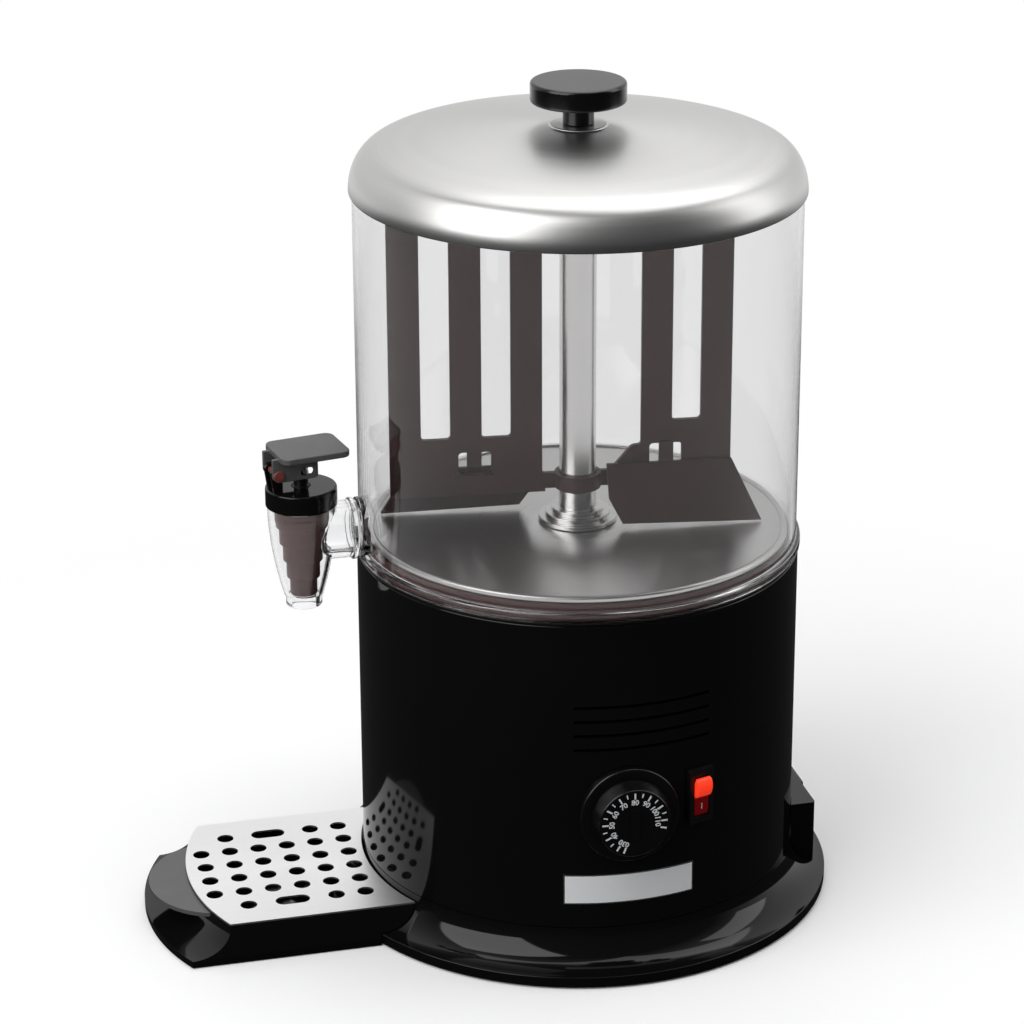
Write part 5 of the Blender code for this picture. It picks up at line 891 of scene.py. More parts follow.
def make_tap_body(stem_end):
    foot = OUTLET_HEIGHT + OUTLET_LIP_HEIGHT
    count = 24
    heights = [foot + (TAP_SHOULDER_HEIGHT - foot) * i / count for i in range(count + 1)]
    neck_top = TAP_SHOULDER_HEIGHT + TAP_NECK_HEIGHT
    profile = [(0, OUTLET_HEIGHT, 0), (OUTLET_RADIUS, OUTLET_HEIGHT, 0.0010)]
    profile += plain([(tap_radius(height), height) for height in heights])
    profile += [(TAP_NECK_RADIUS, TAP_SHOULDER_HEIGHT, 0), (TAP_NECK_RADIUS, neck_top, 0.0005), (0, neck_top, 0)]
    body = turned("clear_tap_barrel", softened(profile, 0, closed=False), MEDIUM_SEGMENTS, TAP)
    inward = Matrix.Translation((0, 0, TAP_REACH)) @ Matrix.Rotation(math.pi, 4, "Y")
    stem = TAP.inverted() @ SPOUT @ inward
    flange_start = stem_end - STEM_FLANGE_THICKNESS
    outer = turned_mesh(softened([
        (0, 0, 0), (STEM_RADIUS, 0, 0), (STEM_RADIUS, flange_start),
        (STEM_FLANGE_RADIUS, flange_start, 0.0006), (STEM_FLANGE_RADIUS, stem_end, 0.0006), (0, stem_end, 0),
    ], 0.0004, closed=False), MEDIUM_SEGMENTS)
    low = OUTLET_HEIGHT - OVERRUN
    high = neck_top + OVERRUN
    neck_bore = TAP_NECK_RADIUS - TAP_WALL / 2
    walled = [height for height in heights if SEAT_HEIGHT + 0.001 < height < TAP_SHOULDER_HEIGHT - 0.003]
    cavity = [(0, low), (OUTLET_BORE_RADIUS, low), (OUTLET_BORE_RADIUS, SEAT_HEIGHT)]
    cavity += [(tap_radius(height) - TAP_WALL, height) for height in [SEAT_HEIGHT] + walled]
    cavity += [(neck_bore, TAP_SHOULDER_HEIGHT), (neck_bore, high), (0, high)]
    hollow = turned_mesh(cavity, MEDIUM_SEGMENTS)
    bore = rod_mesh(STEM_BORE_RADIUS, 0, stem_end + OVERRUN, MEDIUM_SEGMENTS)
    carved(body, TAP, [("UNION", moved(outer, stem)), ("DIFFERENCE", hollow), ("DIFFERENCE", moved(bore, stem))])
    dressed(body, tap_clear, "machine", ["tap_body"], sharp=40)


def cheek_inner():
    return EAR_SPACING / 2 + EAR_THICKNESS / 2 + GAP


def cross_rod(radius, half_length, reach, height):
    turn = Matrix.Translation((0, reach, height)) @ Matrix.Rotation(QUARTER_TURN, 4, "Y")
    return moved(rod_mesh(radius, -half_length, half_length), turn)


def make_tap_top():
    bottom = TAP_SHOULDER_HEIGHT + GAP
    roof = CAP_TOP - CAP_ROOF_THICKNESS
    thread = TAP_NECK_RADIUS + GAP
    profile = softened([
        (CAP_BORE_RADIUS, roof), (CAP_BORE_RADIUS, CAP_TOP), (CAP_RADIUS, CAP_TOP, 0.0013),
        (CAP_RADIUS, bottom, 0.0006), (thread, bottom), (thread, roof),
    ], 0.0003)
    cap = turned("tap_collar", profile, MEDIUM_SEGMENTS, TAP)
    radius = EAR_WIDTH / 2
    changes = []
    for side in (-1, 1):
        near = side * EAR_SPACING / 2 - EAR_THICKNESS / 2
        low = CAP_TOP - CAP_ROOF_THICKNESS / 2
        outline = [(-PIVOT_REACH + radius, low)]
        outline += arc((-PIVOT_REACH, PIVOT_HEIGHT), (radius, radius), 0, math.pi, 17)
        outline += [(-PIVOT_REACH - radius + 0.0016, low)]
        changes.append(("UNION", cross_prism_mesh(outline, near, near + EAR_THICKNESS)))
    changes.append(("DIFFERENCE", cross_rod(PIN_RADIUS + GAP, OVERRUN * 2, -PIVOT_REACH, PIVOT_HEIGHT)))
    carved(cap, TAP, changes)
    dressed(cap, black_gloss, "machine", ["tap_cap"], edge=0.00025)

    top = LEVER_TOP - PIVOT_HEIGHT
    low = top - LEVER_THICKNESS
    middle_y = PIVOT_REACH - LEVER_FRONT + LEVER_LENGTH / 2
    outline = rounded_rectangle(LEVER_WIDTH, LEVER_LENGTH, LEVER_CORNER, (0, middle_y), 10)
    lever = as_object("lever_plate", prism_mesh(outline, low, top), LEVER)
    overlap = low + LEVER_THICKNESS / 2
    rear = PIVOT_REACH + CHEEK_REAR
    changes = []
    for side in (-1, 1):
        ends = sorted((side * cheek_inner(), side * (cheek_inner() + CHEEK_THICKNESS)))
        cheek = softened([
            (-CHEEK_FRONT, overlap, 0), (-CHEEK_FRONT, -CHEEK_DROP / 2, 0.0018), (0, -CHEEK_DROP, 0.0018),
            (rear, -CHEEK_DROP, 0.0020), (rear, overlap, 0),
        ], 0)
        changes.append(("UNION", cross_prism_mesh(cheek, *ends)))
    changes.append(("DIFFERENCE", cross_rod(PIN_RADIUS + GAP, OVERRUN * 2, 0, 0)))
    width = 2 * (PIN_RADIUS + LIFT_SLOT_PLAY)
    length = width + LIFT_SLOT_LENGTH
    slot_middle = PIVOT_REACH + LIFT_SLOT_LENGTH / 2 - LIFT_SLOT_PLAY
    slot = rounded_rectangle(length, width, width / 2 - 0.0001, (slot_middle, 0), 8)
    changes.append(("DIFFERENCE", cross_prism_mesh(slot, -OVERRUN * 2, OVERRUN * 2)))
    carved(lever, LEVER, changes)
    dressed(lever, black_with_painted_sheen, "tap_lever", ["tap_lever"], edge=0.0006, edge_segments=3)

    end = cheek_inner() + CHEEK_THICKNESS + GAP
    pivot = softened([
        (0, -end, 0), (PIN_RADIUS, -end), (PIN_RADIUS, end, 0), (PIN_HEAD_RADIUS, end),
        (PIN_HEAD_RADIUS, end + PIN_HEAD_THICKNESS, 0.0006), (0, end + PIN_HEAD_THICKNESS, 0),
    ], 0.0003, closed=False)
    across = Matrix.Translation((0, -PIVOT_REACH, PIVOT_HEIGHT)) @ Matrix.Rotation(QUARTER_TURN, 4, "Y")
    pin = turned("pivot_pin", pivot, SMALL_SEGMENTS, TAP @ across)
    dressed(pin, pin_red, "machine", ["lever_pin"])

    foot = SEAT_HEIGHT + GAP + PLUNGER_FOOT_DEPTH
    shoulder = BELLOWS_TOP + GAP
    rod = softened([
        (0, foot, 0), (PLUNGER_FOOT_RADIUS, foot), (PLUNGER_FOOT_RADIUS, shoulder),
        (PLUNGER_ROD_RADIUS, shoulder), (PLUNGER_ROD_RADIUS, CAP_TOP), (PLUNGER_HEAD_RADIUS, CAP_TOP + GAP),
        (PLUNGER_HEAD_RADIUS, PLUNGER_HEAD_TOP, 0.0008), (0, PLUNGER_HEAD_TOP, 0),
    ], 0.0003, closed=False)
    plunger = turned("plunger_rod", rod, SMALL_SEGMENTS, TAP)
    carved(plunger, TAP, [("DIFFERENCE", cross_rod(PIN_RADIUS + GAP, OVERRUN * 2, 0, PIVOT_HEIGHT))])
    dressed(plunger, black_satin, "plunger", ["tap_plunger"])
    end = cheek_inner() + CHEEK_THICKNESS
    lift_pin = as_object("cross_pin", cross_rod(PIN_RADIUS, end, 0, PIVOT_HEIGHT), TAP)
    dressed(lift_pin, pin_steel, "plunger", ["lift_pin"], edge=0.0003)
    bottom = SEAT_HEIGHT + GAP
    step = (BELLOWS_TOP - bottom) / BELLOWS_STEP_COUNT
    folds = [(0, bottom, 0)]
    for i in range(BELLOWS_STEP_COUNT):
        share = i / (BELLOWS_STEP_COUNT - 1)
        radius = BELLOWS_FOOT_RADIUS + (BELLOWS_TOP_RADIUS - BELLOWS_FOOT_RADIUS) * share
        folds += [(radius, bottom + step * (i + end), BELLOWS_CORNER) for end in (0, 1)]
    socket = PLUNGER_FOOT_RADIUS + GAP
    folds += [(socket, BELLOWS_TOP), (socket, foot - GAP), (0, foot - GAP, 0)]
    bellows = turned("stepped_bellows", softened(folds, 0.0003, closed=False), MEDIUM_SEGMENTS, TAP)
    dressed(bellows, silicone, "plunger", ["tap_bellows"])


# Lid


def lid_profile(inset):
    """The lid's section at this inset, rim to centre, with the joint of shoulder and crown eased."""
    centre = (LID_RADIUS - LID_SHOULDER_WIDTH, LID_RIM_HEIGHT)
    radii = (LID_SHOULDER_WIDTH - inset, LID_SHOULDER_RISE - inset)
    points = arc(centre, radii, 0, LID_SHOULDER_TURN, SHOULDER_POINTS)
    edge, top = points[-1]
    crown = LID_APEX - inset - top
    joint = len(points)
    for i in range(1, CROWN_POINTS + 1):
        inward = 1 - i / CROWN_POINTS
        points.append((edge * inward, top + crown * (1 - inward**2)))
    lengths = [0.0]
    for first, second in zip(points, points[1:]):
        lengths.append(lengths[-1] + math.dist(first, second))
    count = int(lengths[-1] / LID_POINT_SPACING)
    even = []
    at = 0
    for i in range(count + 1):
        target = lengths[-1] * i / count
        while at < len(points) - 2 and lengths[at + 1] < target:
            at += 1
        share = (target - lengths[at]) / (lengths[at + 1] - lengths[at])
        even.append([a + (b - a) * share for a, b in zip(points[at], points[at + 1])])
    place = lengths[joint - 1] / lengths[-1] * count
    for _ in range(EASE_PASSES):
        eased = [list(point) for point in even]
        for i in range(1, count):
            pull = max(0.0, 1 - ((i - place) / EASE_REACH) ** 2) * EASE_STRENGTH
            for axis in (0, 1):
                eased[i][axis] += pull * (even[i - 1][axis] + even[i + 1][axis] - 2 * even[i][axis])
        even = eased
    return [tuple(point) for point in even]


def make_lid():
    bore = KNOB_SCREW_RADIUS + GAP
    outer = [point for point in lid_profile(0) if point[0] > LID_BOSS_RADIUS + 0.0020]
    inner = [point for point in lid_profile(LID_WALL) if point[0] > bore + 0.001]
    profile = [(outer[0][0], outer[0][1], 0.0005)] + plain(outer[1:])
    profile += [
        (LID_BOSS_RADIUS + 0.0006, outer[-1][1] + 0.0001, 0.0005), (LID_BOSS_RADIUS, LID_BOSS_TOP, 0.0005),
        (bore, LID_BOSS_TOP, 0),
    ]
    profile += [(bore, LID_APEX - LID_WALL, 0)] + plain(inner[::-1])[:-1] + [(inner[0][0], inner[0][1], 0.0004)]
    dome = turned("steel_dome_lid", softened(profile, 0.0004), LARGE_SEGMENTS)
    dressed(dome, lid_steel, "lid", ["lid"])
    seat_bottom = JAR_TOP + GAP
    seat_top = seat_bottom + SEAT_RING_THICKNESS
    lip_outer = JAR_BORE - RUNNING_GAP
    lip_inner = lip_outer - SEAT_RING_WALL
    share = (seat_top - LID_RIM_HEIGHT) / (LID_SHOULDER_RISE - LID_WALL)
    edge = LID_RADIUS - LID_SHOULDER_WIDTH + (LID_SHOULDER_WIDTH - LID_WALL) * math.sqrt(1 - share**2) - GAP
    low = LID_RIM_HEIGHT + SEAT_RING_THICKNESS / 2
    ring = softened([
        (lip_inner, low), (lip_outer, low), (lip_outer, seat_bottom),
        (edge, seat_bottom), (edge, seat_top), (lip_inner, seat_top),
    ], 0.0004)
    dressed(turned("lid_seat", ring, LARGE_SEGMENTS), black_satin, "lid", ["lid_seat_ring"])
    stem_bottom = LID_BOSS_TOP + GAP
    disc_bottom = KNOB_TOP - KNOB_THICKNESS
    knob = softened([
        (0, stem_bottom, 0), (KNOB_STEM_RADIUS, stem_bottom, 0.0004), (KNOB_STEM_RADIUS, disc_bottom, 0.0008),
        (KNOB_RADIUS, disc_bottom, KNOB_ROUNDING), (KNOB_RADIUS, KNOB_TOP, KNOB_ROUNDING), (0, KNOB_TOP, 0),
    ], 0, closed=False, steps=8)
    dressed(turned("round_knob", knob, MEDIUM_SEGMENTS), black_knob, "lid", ["lid_knob"])


# Stirrer


def tine_windows(reach, web_top, sign):
    windows = []
    outer = reach - TINE_WIDTH
    inner = reach - TINE_PITCH
    while inner - TINE_WIDTH > COLUMN_RADIUS - TINE_WIDTH / 2:
        windows.append((min(sign * inner, sign * outer), max(sign * inner, sign * outer), web_top, BRIDGE_BOTTOM))
        outer -= TINE_PITCH
        inner -= TINE_PITCH
    return windows


def make_stirrer():
    half = WING_THICKNESS / 2
    hub_top = HUB_BOTTOM + HUB_HEIGHT
    outline = [
        (-LONG_WING_REACH, WING_BOTTOM), (-WING_INNER, WING_BOTTOM), (-WING_INNER, HUB_BOTTOM),
        (WING_INNER, HUB_BOTTOM), (WING_INNER, WING_BOTTOM), (SHORT_WING_REACH, WING_BOTTOM),
        (SHORT_WING_REACH, BRIDGE_TOP), (-LONG_WING_REACH, BRIDGE_TOP),
    ]
    comb = as_object("brown_stirring_comb", side_prism_mesh(outline, -half, half), STIRRER)
    hub_bore = COLUMN_RADIUS + RUNNING_GAP
    hub_radius = hub_bore + HUB_WALL
    cap_top = BRIDGE_TOP + SOCKET_ROOF / 2
    changes = []
    for radius, bottom, top, corner in (
        (hub_radius, HUB_BOTTOM, hub_top, 0.0006), (TOP_HUB_RADIUS, TOP_HUB_BOTTOM, cap_top, 0.0008),
    ):
        hub = softened([(0, bottom, 0), (radius, bottom), (radius, top), (0, top, 0)], corner, closed=False)
        changes.append(("UNION", turned_mesh(hub, MEDIUM_SEGMENTS)))
    pad_top = CLIP_WINDOW_BOTTOM - GAP
    windows = tine_windows(LONG_WING_REACH, LONG_WEB_TOP, -1) + tine_windows(SHORT_WING_REACH, SHORT_WEB_TOP, 1)
    for sign in (-1, 1):
        middle = sign * CLIP_CENTRE + min(sign, 0) * BLADE_SHIFT
        near, far = sorted((0, sign * (half + CLIP_PAD_PROUD)))
        pad = rounded_rectangle(CLIP_PAD_WIDTH, CLIP_PAD_HEIGHT, 0.0022, (middle, pad_top - CLIP_PAD_HEIGHT / 2))
        changes.append(("UNION", side_prism_mesh(pad, near, far)))
        half_window = CLIP_WINDOW_WIDTH / 2
        windows.append((middle - half_window, middle + half_window, CLIP_WINDOW_BOTTOM, CLIP_WINDOW_TOP))
    for left, right, bottom, top in windows:
        middle = ((left + right) / 2, (bottom + top) / 2)
        window = rounded_rectangle(right - left, top - bottom, TINE_WIDTH / 8, middle)
        changes.append(("DIFFERENCE", side_prism_mesh(window, -OVERRUN, OVERRUN)))
    inner_left = -LONG_WING_REACH + 2 * TINE_PITCH + TINE_WIDTH
    inner_right = SHORT_WING_REACH - TINE_PITCH - TINE_WIDTH
    well = [
        (inner_left, hub_top), (WING_INNER, hub_top), (SHORT_WEB_INNER, SHORT_WEB_SHOULDER),
        (inner_right, SHORT_WEB_SHOULDER), (inner_right, BRIDGE_BOTTOM), (inner_left, BRIDGE_BOTTOM),
    ]
    reach = half + OVERRUN / 4
    socket = (SHAFT_SQUARE + SOCKET_PLAY) / 2
    socket_top = BRIDGE_TOP - SOCKET_ROOF / 2
    bore_top = TOP_HUB_BOTTOM - OVERRUN
    changes += [("DIFFERENCE", mesh) for mesh in (
        side_prism_mesh(softened(well, 0.0020, steps=6), -reach, reach),
        rod_mesh(hub_bore, HUB_BOTTOM - OVERRUN, bore_top, MEDIUM_SEGMENTS),
        block_mesh((-socket, -socket, bore_top), (socket, socket, socket_top)),
    )]
    carved(comb, STIRRER, changes)
    dressed(comb, brown, "stirrer", ["stirrer_frame"], edge=0.0004)
    for name, node, sign, shift in (
        ("short_wing_scraper", "scraper_blade_short_wing", 1, 0),
        ("long_wing_scraper", "scraper_blade_long_wing", -1, BLADE_SHIFT),
    ):
        make_blade(name, node, sign, shift)


def make_blade(name, node, sign, shift):
    face = WING_THICKNESS / 2 + GAP
    foot_height = HEATER_PLATE_TOP + BLADE_CLEARANCE
    inner_foot = foot_height + BLADE_FOOT_RISE
    drop = BLADE_TOP - foot_height
    chamfer = BLADE_TOP - drop * BLADE_CHAMFER_SHARE

    def outward(height):
        return face + BLADE_SPREAD * (BLADE_TOP - height) / drop

    edge = [
        (BLADE_TOP_INNER, BLADE_TOP), (BLADE_TOP_INNER, chamfer), (BLADE_FOOT_INNER, inner_foot),
        (BLADE_FOOT_OUTER, foot_height), (BLADE_TOP_OUTER, BLADE_TOP),
    ]
    rows = [
        [(sign * (x + shift), -sign * (outward(z) + thickness), z) for x, z in edge]
        for thickness in (0, BLADE_THICKNESS)
    ]
    blade = as_object(name, loft_mesh(rows), STIRRER)
    middle = sign * (CLIP_CENTRE + shift)
    near, far = sorted((-sign * face, -sign * (face + TAB_THICKNESS)))
    tab = rounded_rectangle(TAB_WIDTH, TAB_TOP - TAB_BOTTOM, 0.0008, (middle, (TAB_TOP + TAB_BOTTOM) / 2))
    carved(blade, STIRRER, [("UNION", side_prism_mesh(tab, near, far))])
    dressed(blade, brown, "stirrer", [node], edge=0.0003)


# Control panel


def drum_fit():
    """What a piece on the drum's wall gives up, so that it sits on the wall with its gap."""
    return rod_mesh(HOUSING_RADIUS + GAP, SKIRT_TOP, HOUSING_TOP, LARGE_SEGMENTS)


def make_mark(name, text, size, matrix):
    """The mesh of a printed numeral, a thin solid, moved by the matrix."""
    curve = bpy.data.curves.new(name, "FONT")
    curve.body = text
    curve.size = size
    curve.align_x = "CENTER"
    curve.align_y = "CENTER"
    curve.extrude = PRINT_THICKNESS
    curve.offset = size * NUMERAL_WEIGHT
    curve.resolution_u = 3
    holder = bpy.data.objects.new(name + "_curve", curve)
    bpy.context.scene.collection.objects.link(holder)
    bpy.context.view_layer.update()
    mesh = bpy.data.meshes.new_from_object(holder.evaluated_get(bpy.context.evaluated_depsgraph_get()))
    bpy.data.objects.remove(holder)
    mesh.transform(matrix)
    return mesh


def make_dial():
    face = HOUSING_RADIUS + BEZEL_PROUD
    profile = softened([
        (BEZEL_BORE_RADIUS, HOUSING_BORE), (BEZEL_RADIUS, HOUSING_BORE),
        (BEZEL_RADIUS, face, BEZEL_CHAMFER), (BEZEL_BORE_RADIUS, face),
    ], 0.0003, steps=6)
    bezel = turned("dial_rim", profile, MEDIUM_SEGMENTS, DIAL)
    carved(bezel, COLUMN, [("DIFFERENCE", drum_fit())])
    dressed(bezel, black_panel, "machine", ["dial_bezel"])
    back = face + GAP
    front = back + DIAL_DEPTH
    skirt = softened([
        (0, back, 0), (DIAL_RADIUS, back, 0.0004), (DIAL_RADIUS, back + 0.0012, 0.0006),
        (DIAL_FACE_RADIUS, front, 0.0009), (0, front, 0),
    ], 0, closed=False, steps=6)
    dial = turned("numbered_dial", skirt, MEDIUM_SEGMENTS, DIAL)
    grip = rounded_rectangle(DIAL_GRIP_LENGTH, DIAL_GRIP_WIDTH, DIAL_GRIP_WIDTH / 2.2)
    carved(dial, DIAL, [("UNION", prism_mesh(grip, front - DIAL_GRIP_RISE, front + DIAL_GRIP_RISE))])
    dressed(dial, black_panel, "dial", ["thermostat_dial"], edge=0.0003)
    marks = bmesh.new()
    labelled = [(DIAL_ZERO_TURN, "0")]
    labelled += [(DIAL_FIRST_TURN + DIAL_PITCH * i, str(30 + 10 * i)) for i in range(DIAL_LABEL_COUNT)]
    bars = [turn for turn, _ in labelled] + [DIAL_END_TURN]
    between = [DIAL_FIRST_TURN + DIAL_PITCH * (i + 0.5) for i in range(DIAL_LABEL_COUNT - 1)]
    for turns, length, half in ((bars, LONG_TICK, LONG_TICK_WIDTH / 2), (between, SHORT_TICK, SHORT_TICK_WIDTH / 2)):
        for turn in turns:
            inner = length - DIAL_TICK_REACH
            outline = [(-DIAL_TICK_REACH, -half), (inner, -half), (inner, half), (-DIAL_TICK_REACH, half)]
            tick = prism_mesh(outline, front - PRINT_SINK, front + PRINT_THICKNESS)
            moved(tick, Matrix.Rotation(-math.radians(turn), 4, "Z"))
            holder = bpy.data.meshes.new("tick")
            tick.to_mesh(holder)
            tick.free()
            absorb(marks, holder)
    for turn, text in labelled:
        place = Matrix.Translation((-DIAL_NUMERAL_REACH, 0, front))
        flat = Matrix.Rotation(-math.radians(turn), 4, "Z") @ place @ Matrix.Rotation(QUARTER_TURN, 4, "Z")
        absorb(marks, make_mark("numeral_" + text, text, DIAL_NUMERAL_SIZE, flat))
    scale = as_object("dial_numbers", marks, DIAL)
    dressed(scale, white_mark, "dial")


def make_switch():
    face = HOUSING_RADIUS + SWITCH_FRAME_PROUD
    flange = prism_mesh(rounded_rectangle(SWITCH_FRAME_HEIGHT, SWITCH_FRAME_WIDTH, 0.0012), HOUSING_BORE, face)
    body = as_object("rocker_frame", flange, SWITCH)
    carved(body, COLUMN, [("DIFFERENCE", drum_fit())])
    shell = rounded_rectangle(SWITCH_BODY_HEIGHT, SWITCH_BODY_WIDTH, 0.0006)
    well = rounded_rectangle(ROCKER_HEIGHT + 2 * RUNNING_GAP, ROCKER_WIDTH + 2 * RUNNING_GAP, 0.0005)
    carved(body, SWITCH, [
        ("UNION", prism_mesh(shell, HOUSING_RADIUS - SWITCH_BODY_DEPTH, face - SWITCH_FRAME_PROUD / 3)),
        ("DIFFERENCE", prism_mesh(well, face - ROCKER_WELL_DEPTH, face + OVERRUN)),
    ])
    dressed(body, black_satin, "machine", ["switch_body"], edge=0.0005, edge_segments=3)
    half = ROCKER_HEIGHT / 2 - RUNNING_GAP
    crest = ROCKER_DEPTH / 2
    dip = crest / 2
    lower = [
        (half, crest), (half * 0.75, crest * 0.97), (half * 0.5, crest - dip * 0.22),
        (half * 0.25, dip + (crest - dip) * 0.42), (0, dip),
    ]
    upper = arc((-half * 0.5, dip), (half * 0.5, ROCKER_BULGE), 0, math.pi, 15)[1:]
    profile = [(-half, 0), (0, -crest), (half, 0)] + lower + upper
    rocker = as_object("lit_rocker", side_prism_mesh(profile, -ROCKER_WIDTH / 2, ROCKER_WIDTH / 2), ROCKER)
    dressed(rocker, red_lens, "rocker", ["switch_rocker"], edge=0.0004, edge_segments=3)
    lean = math.atan2(crest - dip, half)
    mark = prism_mesh(rounded_rectangle(*ROCKER_STROKE), -0.0002, 0.0001)
    flat = Matrix.Translation((half * 0.52, 0, crest - dip * 0.20)) @ Matrix.Rotation(-lean, 4, "Y")
    dash = as_object("rocker_mark", moved(mark, flat), ROCKER)
    dressed(dash, rocker_mark, "rocker")


def make_label():
    inner = HOUSING_RADIUS + GAP
    outline = sector(inner, inner + LABEL_THICKNESS * 0.8, LABEL_START, LABEL_END)
    plate = as_object("label_backing", prism_mesh(outline, LABEL_BOTTOM, LABEL_TOP), COLUMN)
    dressed(plate, label_edge, "machine", ["blank_plate"], edge=0.00015)
    turn = LABEL_RIM / HOUSING_RADIUS
    outline = sector(inner + LABEL_THICKNESS * 0.5, inner + LABEL_THICKNESS, LABEL_START + turn, LABEL_END - turn)
    face = as_object("label_face_bare", prism_mesh(outline, LABEL_BOTTOM + LABEL_RIM, LABEL_TOP - LABEL_RIM), COLUMN)
    dressed(face, label_face, "machine", edge=0.0001)


# Terminal box


def make_box():
    low = (-BOX_HALF_WIDTH, HOUSING_BORE - BOX_HALF_WIDTH, RIM_TOP)
    outline = [(low[0], low[1]), (-low[0], low[1]), (-low[0], BOX_BACK, 0.0022), (low[0], BOX_BACK, 0.0022)]
    box = as_object("rear_box", prism_mesh(softened(outline, 0, steps=6), RIM_TOP, BOX_TOP), COLUMN)
    inner = BOX_HALF_WIDTH - BOX_WALL
    cavity = block_mesh((-inner, low[1] - OVERRUN, BOX_FLOOR), (inner, BOX_BACK - BOX_WALL, BOX_TOP - BOX_WALL))
    half_width = INLET_WIDTH / 2 + GAP
    half_height = INLET_HEIGHT / 2 + GAP
    hole = block_mesh(
        (-half_width, BOX_BACK - OVERRUN / 2, INLET_CENTRE - half_height),
        (half_width, BOX_BACK + OVERRUN, INLET_CENTRE + half_height),
    )
    carved(box, COLUMN, [("DIFFERENCE", base_clearance(GAP)), ("DIFFERENCE", cavity), ("DIFFERENCE", hole)])
    dressed(box, black_gloss, "machine", ["terminal_box"], edge=0.0005)
    back = BOX_BACK + GAP
    front = back + INLET_FLANGE_THICKNESS
    outward = COLUMN @ Matrix.Translation((0, 0, INLET_CENTRE)) @ Matrix.Rotation(-QUARTER_TURN, 4, "X")
    flange = rounded_rectangle(INLET_WIDTH + 2 * INLET_FLANGE, INLET_HEIGHT + 2 * INLET_FLANGE, 0.0015)
    inlet = as_object("three_pin_inlet", prism_mesh(flange, back, front), outward)
    body_back = front - INLET_DEPTH
    body = rounded_rectangle(INLET_WIDTH, INLET_HEIGHT, 0.0010)
    well = rounded_rectangle(INLET_WIDTH - 2 * INLET_WALL, INLET_HEIGHT - 2 * INLET_WALL, 0.0008)
    changes = [
        ("UNION", prism_mesh(body, body_back, front - INLET_FLANGE_THICKNESS / 2)),
        ("DIFFERENCE", prism_mesh(well, body_back + INLET_WALL, front + OVERRUN)),
    ]
    for number in (-1, 0, 1):
        pin = rounded_rectangle(INLET_PIN_WIDTH, INLET_PIN_HEIGHT, 0.0003, (number * INLET_PIN_PITCH, 0))
        changes.append(("UNION", prism_mesh(pin, body_back + INLET_WALL / 2, front - INLET_WALL)))
    carved(inlet, outward, changes)
    dressed(inlet, black_satin, "machine", ["power_inlet"], edge=0.0002)


# Drip tray


def bowed_front(half_width, corner_reach, apex_reach, count=41):
    bow = apex_reach - corner_reach
    radius = (half_width**2 + bow**2) / (2 * bow)
    half_turn = math.asin(half_width / radius)
    ends = (-QUARTER_TURN - half_turn, -QUARTER_TURN + half_turn)
    return arc((0, radius - apex_reach), (radius, radius), *ends, count)


def rooted(half_width, corner_reach, apex_reach):
    """The tray's outline at one height, its straight sides run back under the housing."""
    front = bowed_front(half_width, corner_reach, apex_reach)
    return [(-half_width, -TRAY_ROOT), *front, (half_width, -TRAY_ROOT)]


def make_tray():
    foot = (TRAY_FOOT_HALF_WIDTH, TRAY_FOOT_CORNER_REACH, TRAY_FOOT_APEX_REACH)
    rim = (TRAY_HALF_WIDTH, TRAY_CORNER_REACH, TRAY_APEX_REACH)

    def row(height, half_width, corner_reach, apex_reach):
        return [(x, y, height) for x, y in rooted(half_width, corner_reach, apex_reach)]

    foot_top = TRAY_BOTTOM + TRAY_FOOT_THICKNESS
    rise = TRAY_TOP - foot_top
    rows = [row(TRAY_BOTTOM, *foot), row(foot_top, *foot)]
    cove_count = 20
    for i in range(1, cove_count):
        turn = QUARTER_TURN * i / cove_count
        height = foot_top + rise * (1 - math.cos(turn))
        width = foot[0] + (rim[0] - foot[0]) * (height - foot_top) / rise
        reaches = [low + (high - low) * math.sin(turn) for low, high in zip(foot[1:], rim[1:])]
        rows.append(row(height, width, *reaches))
    rows.append(row(TRAY_TOP, *rim))
    tray = as_object("black_drip_tray", loft_mesh(rows), COLUMN)
    pull_reach = PULL_APEX_REACH - PULL_ROOT_REACH
    pull = arc((0, -PULL_ROOT_REACH), (PULL_HALF_WIDTH, pull_reach), -math.pi, 0, 49)
    inner = TRAY_HALF_WIDTH - TRAY_WALL
    hollow = rooted(inner, TRAY_CORNER_REACH - TRAY_WALL, TRAY_APEX_REACH - TRAY_WALL)
    well = as_object("tray_well", prism_mesh(hollow, TRAY_BOTTOM + TRAY_FLOOR, TRAY_TOP + OVERRUN), COLUMN)
    carved(well, COLUMN, [("DIFFERENCE", base_clearance(TRAY_GAP + TRAY_WALL))])
    well_mesh = bmesh.new()
    absorb(well_mesh, well.data)
    moved(well_mesh, COLUMN.inverted())
    carved(tray, COLUMN, [("DIFFERENCE", well_mesh), ("DIFFERENCE", base_clearance(TRAY_GAP))])
    dressed(tray, black_gloss, "tray", ["drip_tray"], edge=0.0004, edge_segments=3)
    lip = as_object("tray_pull_lip", prism_mesh(pull, PULL_TOP - PULL_THICKNESS, PULL_TOP), COLUMN)
    keep_out = prism_mesh(hollow, TRAY_BOTTOM + TRAY_FLOOR, TRAY_TOP + OVERRUN)
    carved(lip, COLUMN, [("DIFFERENCE", keep_out)])
    dressed(lip, black_with_painted_sheen, "tray", edge=0.0007, edge_segments=3)


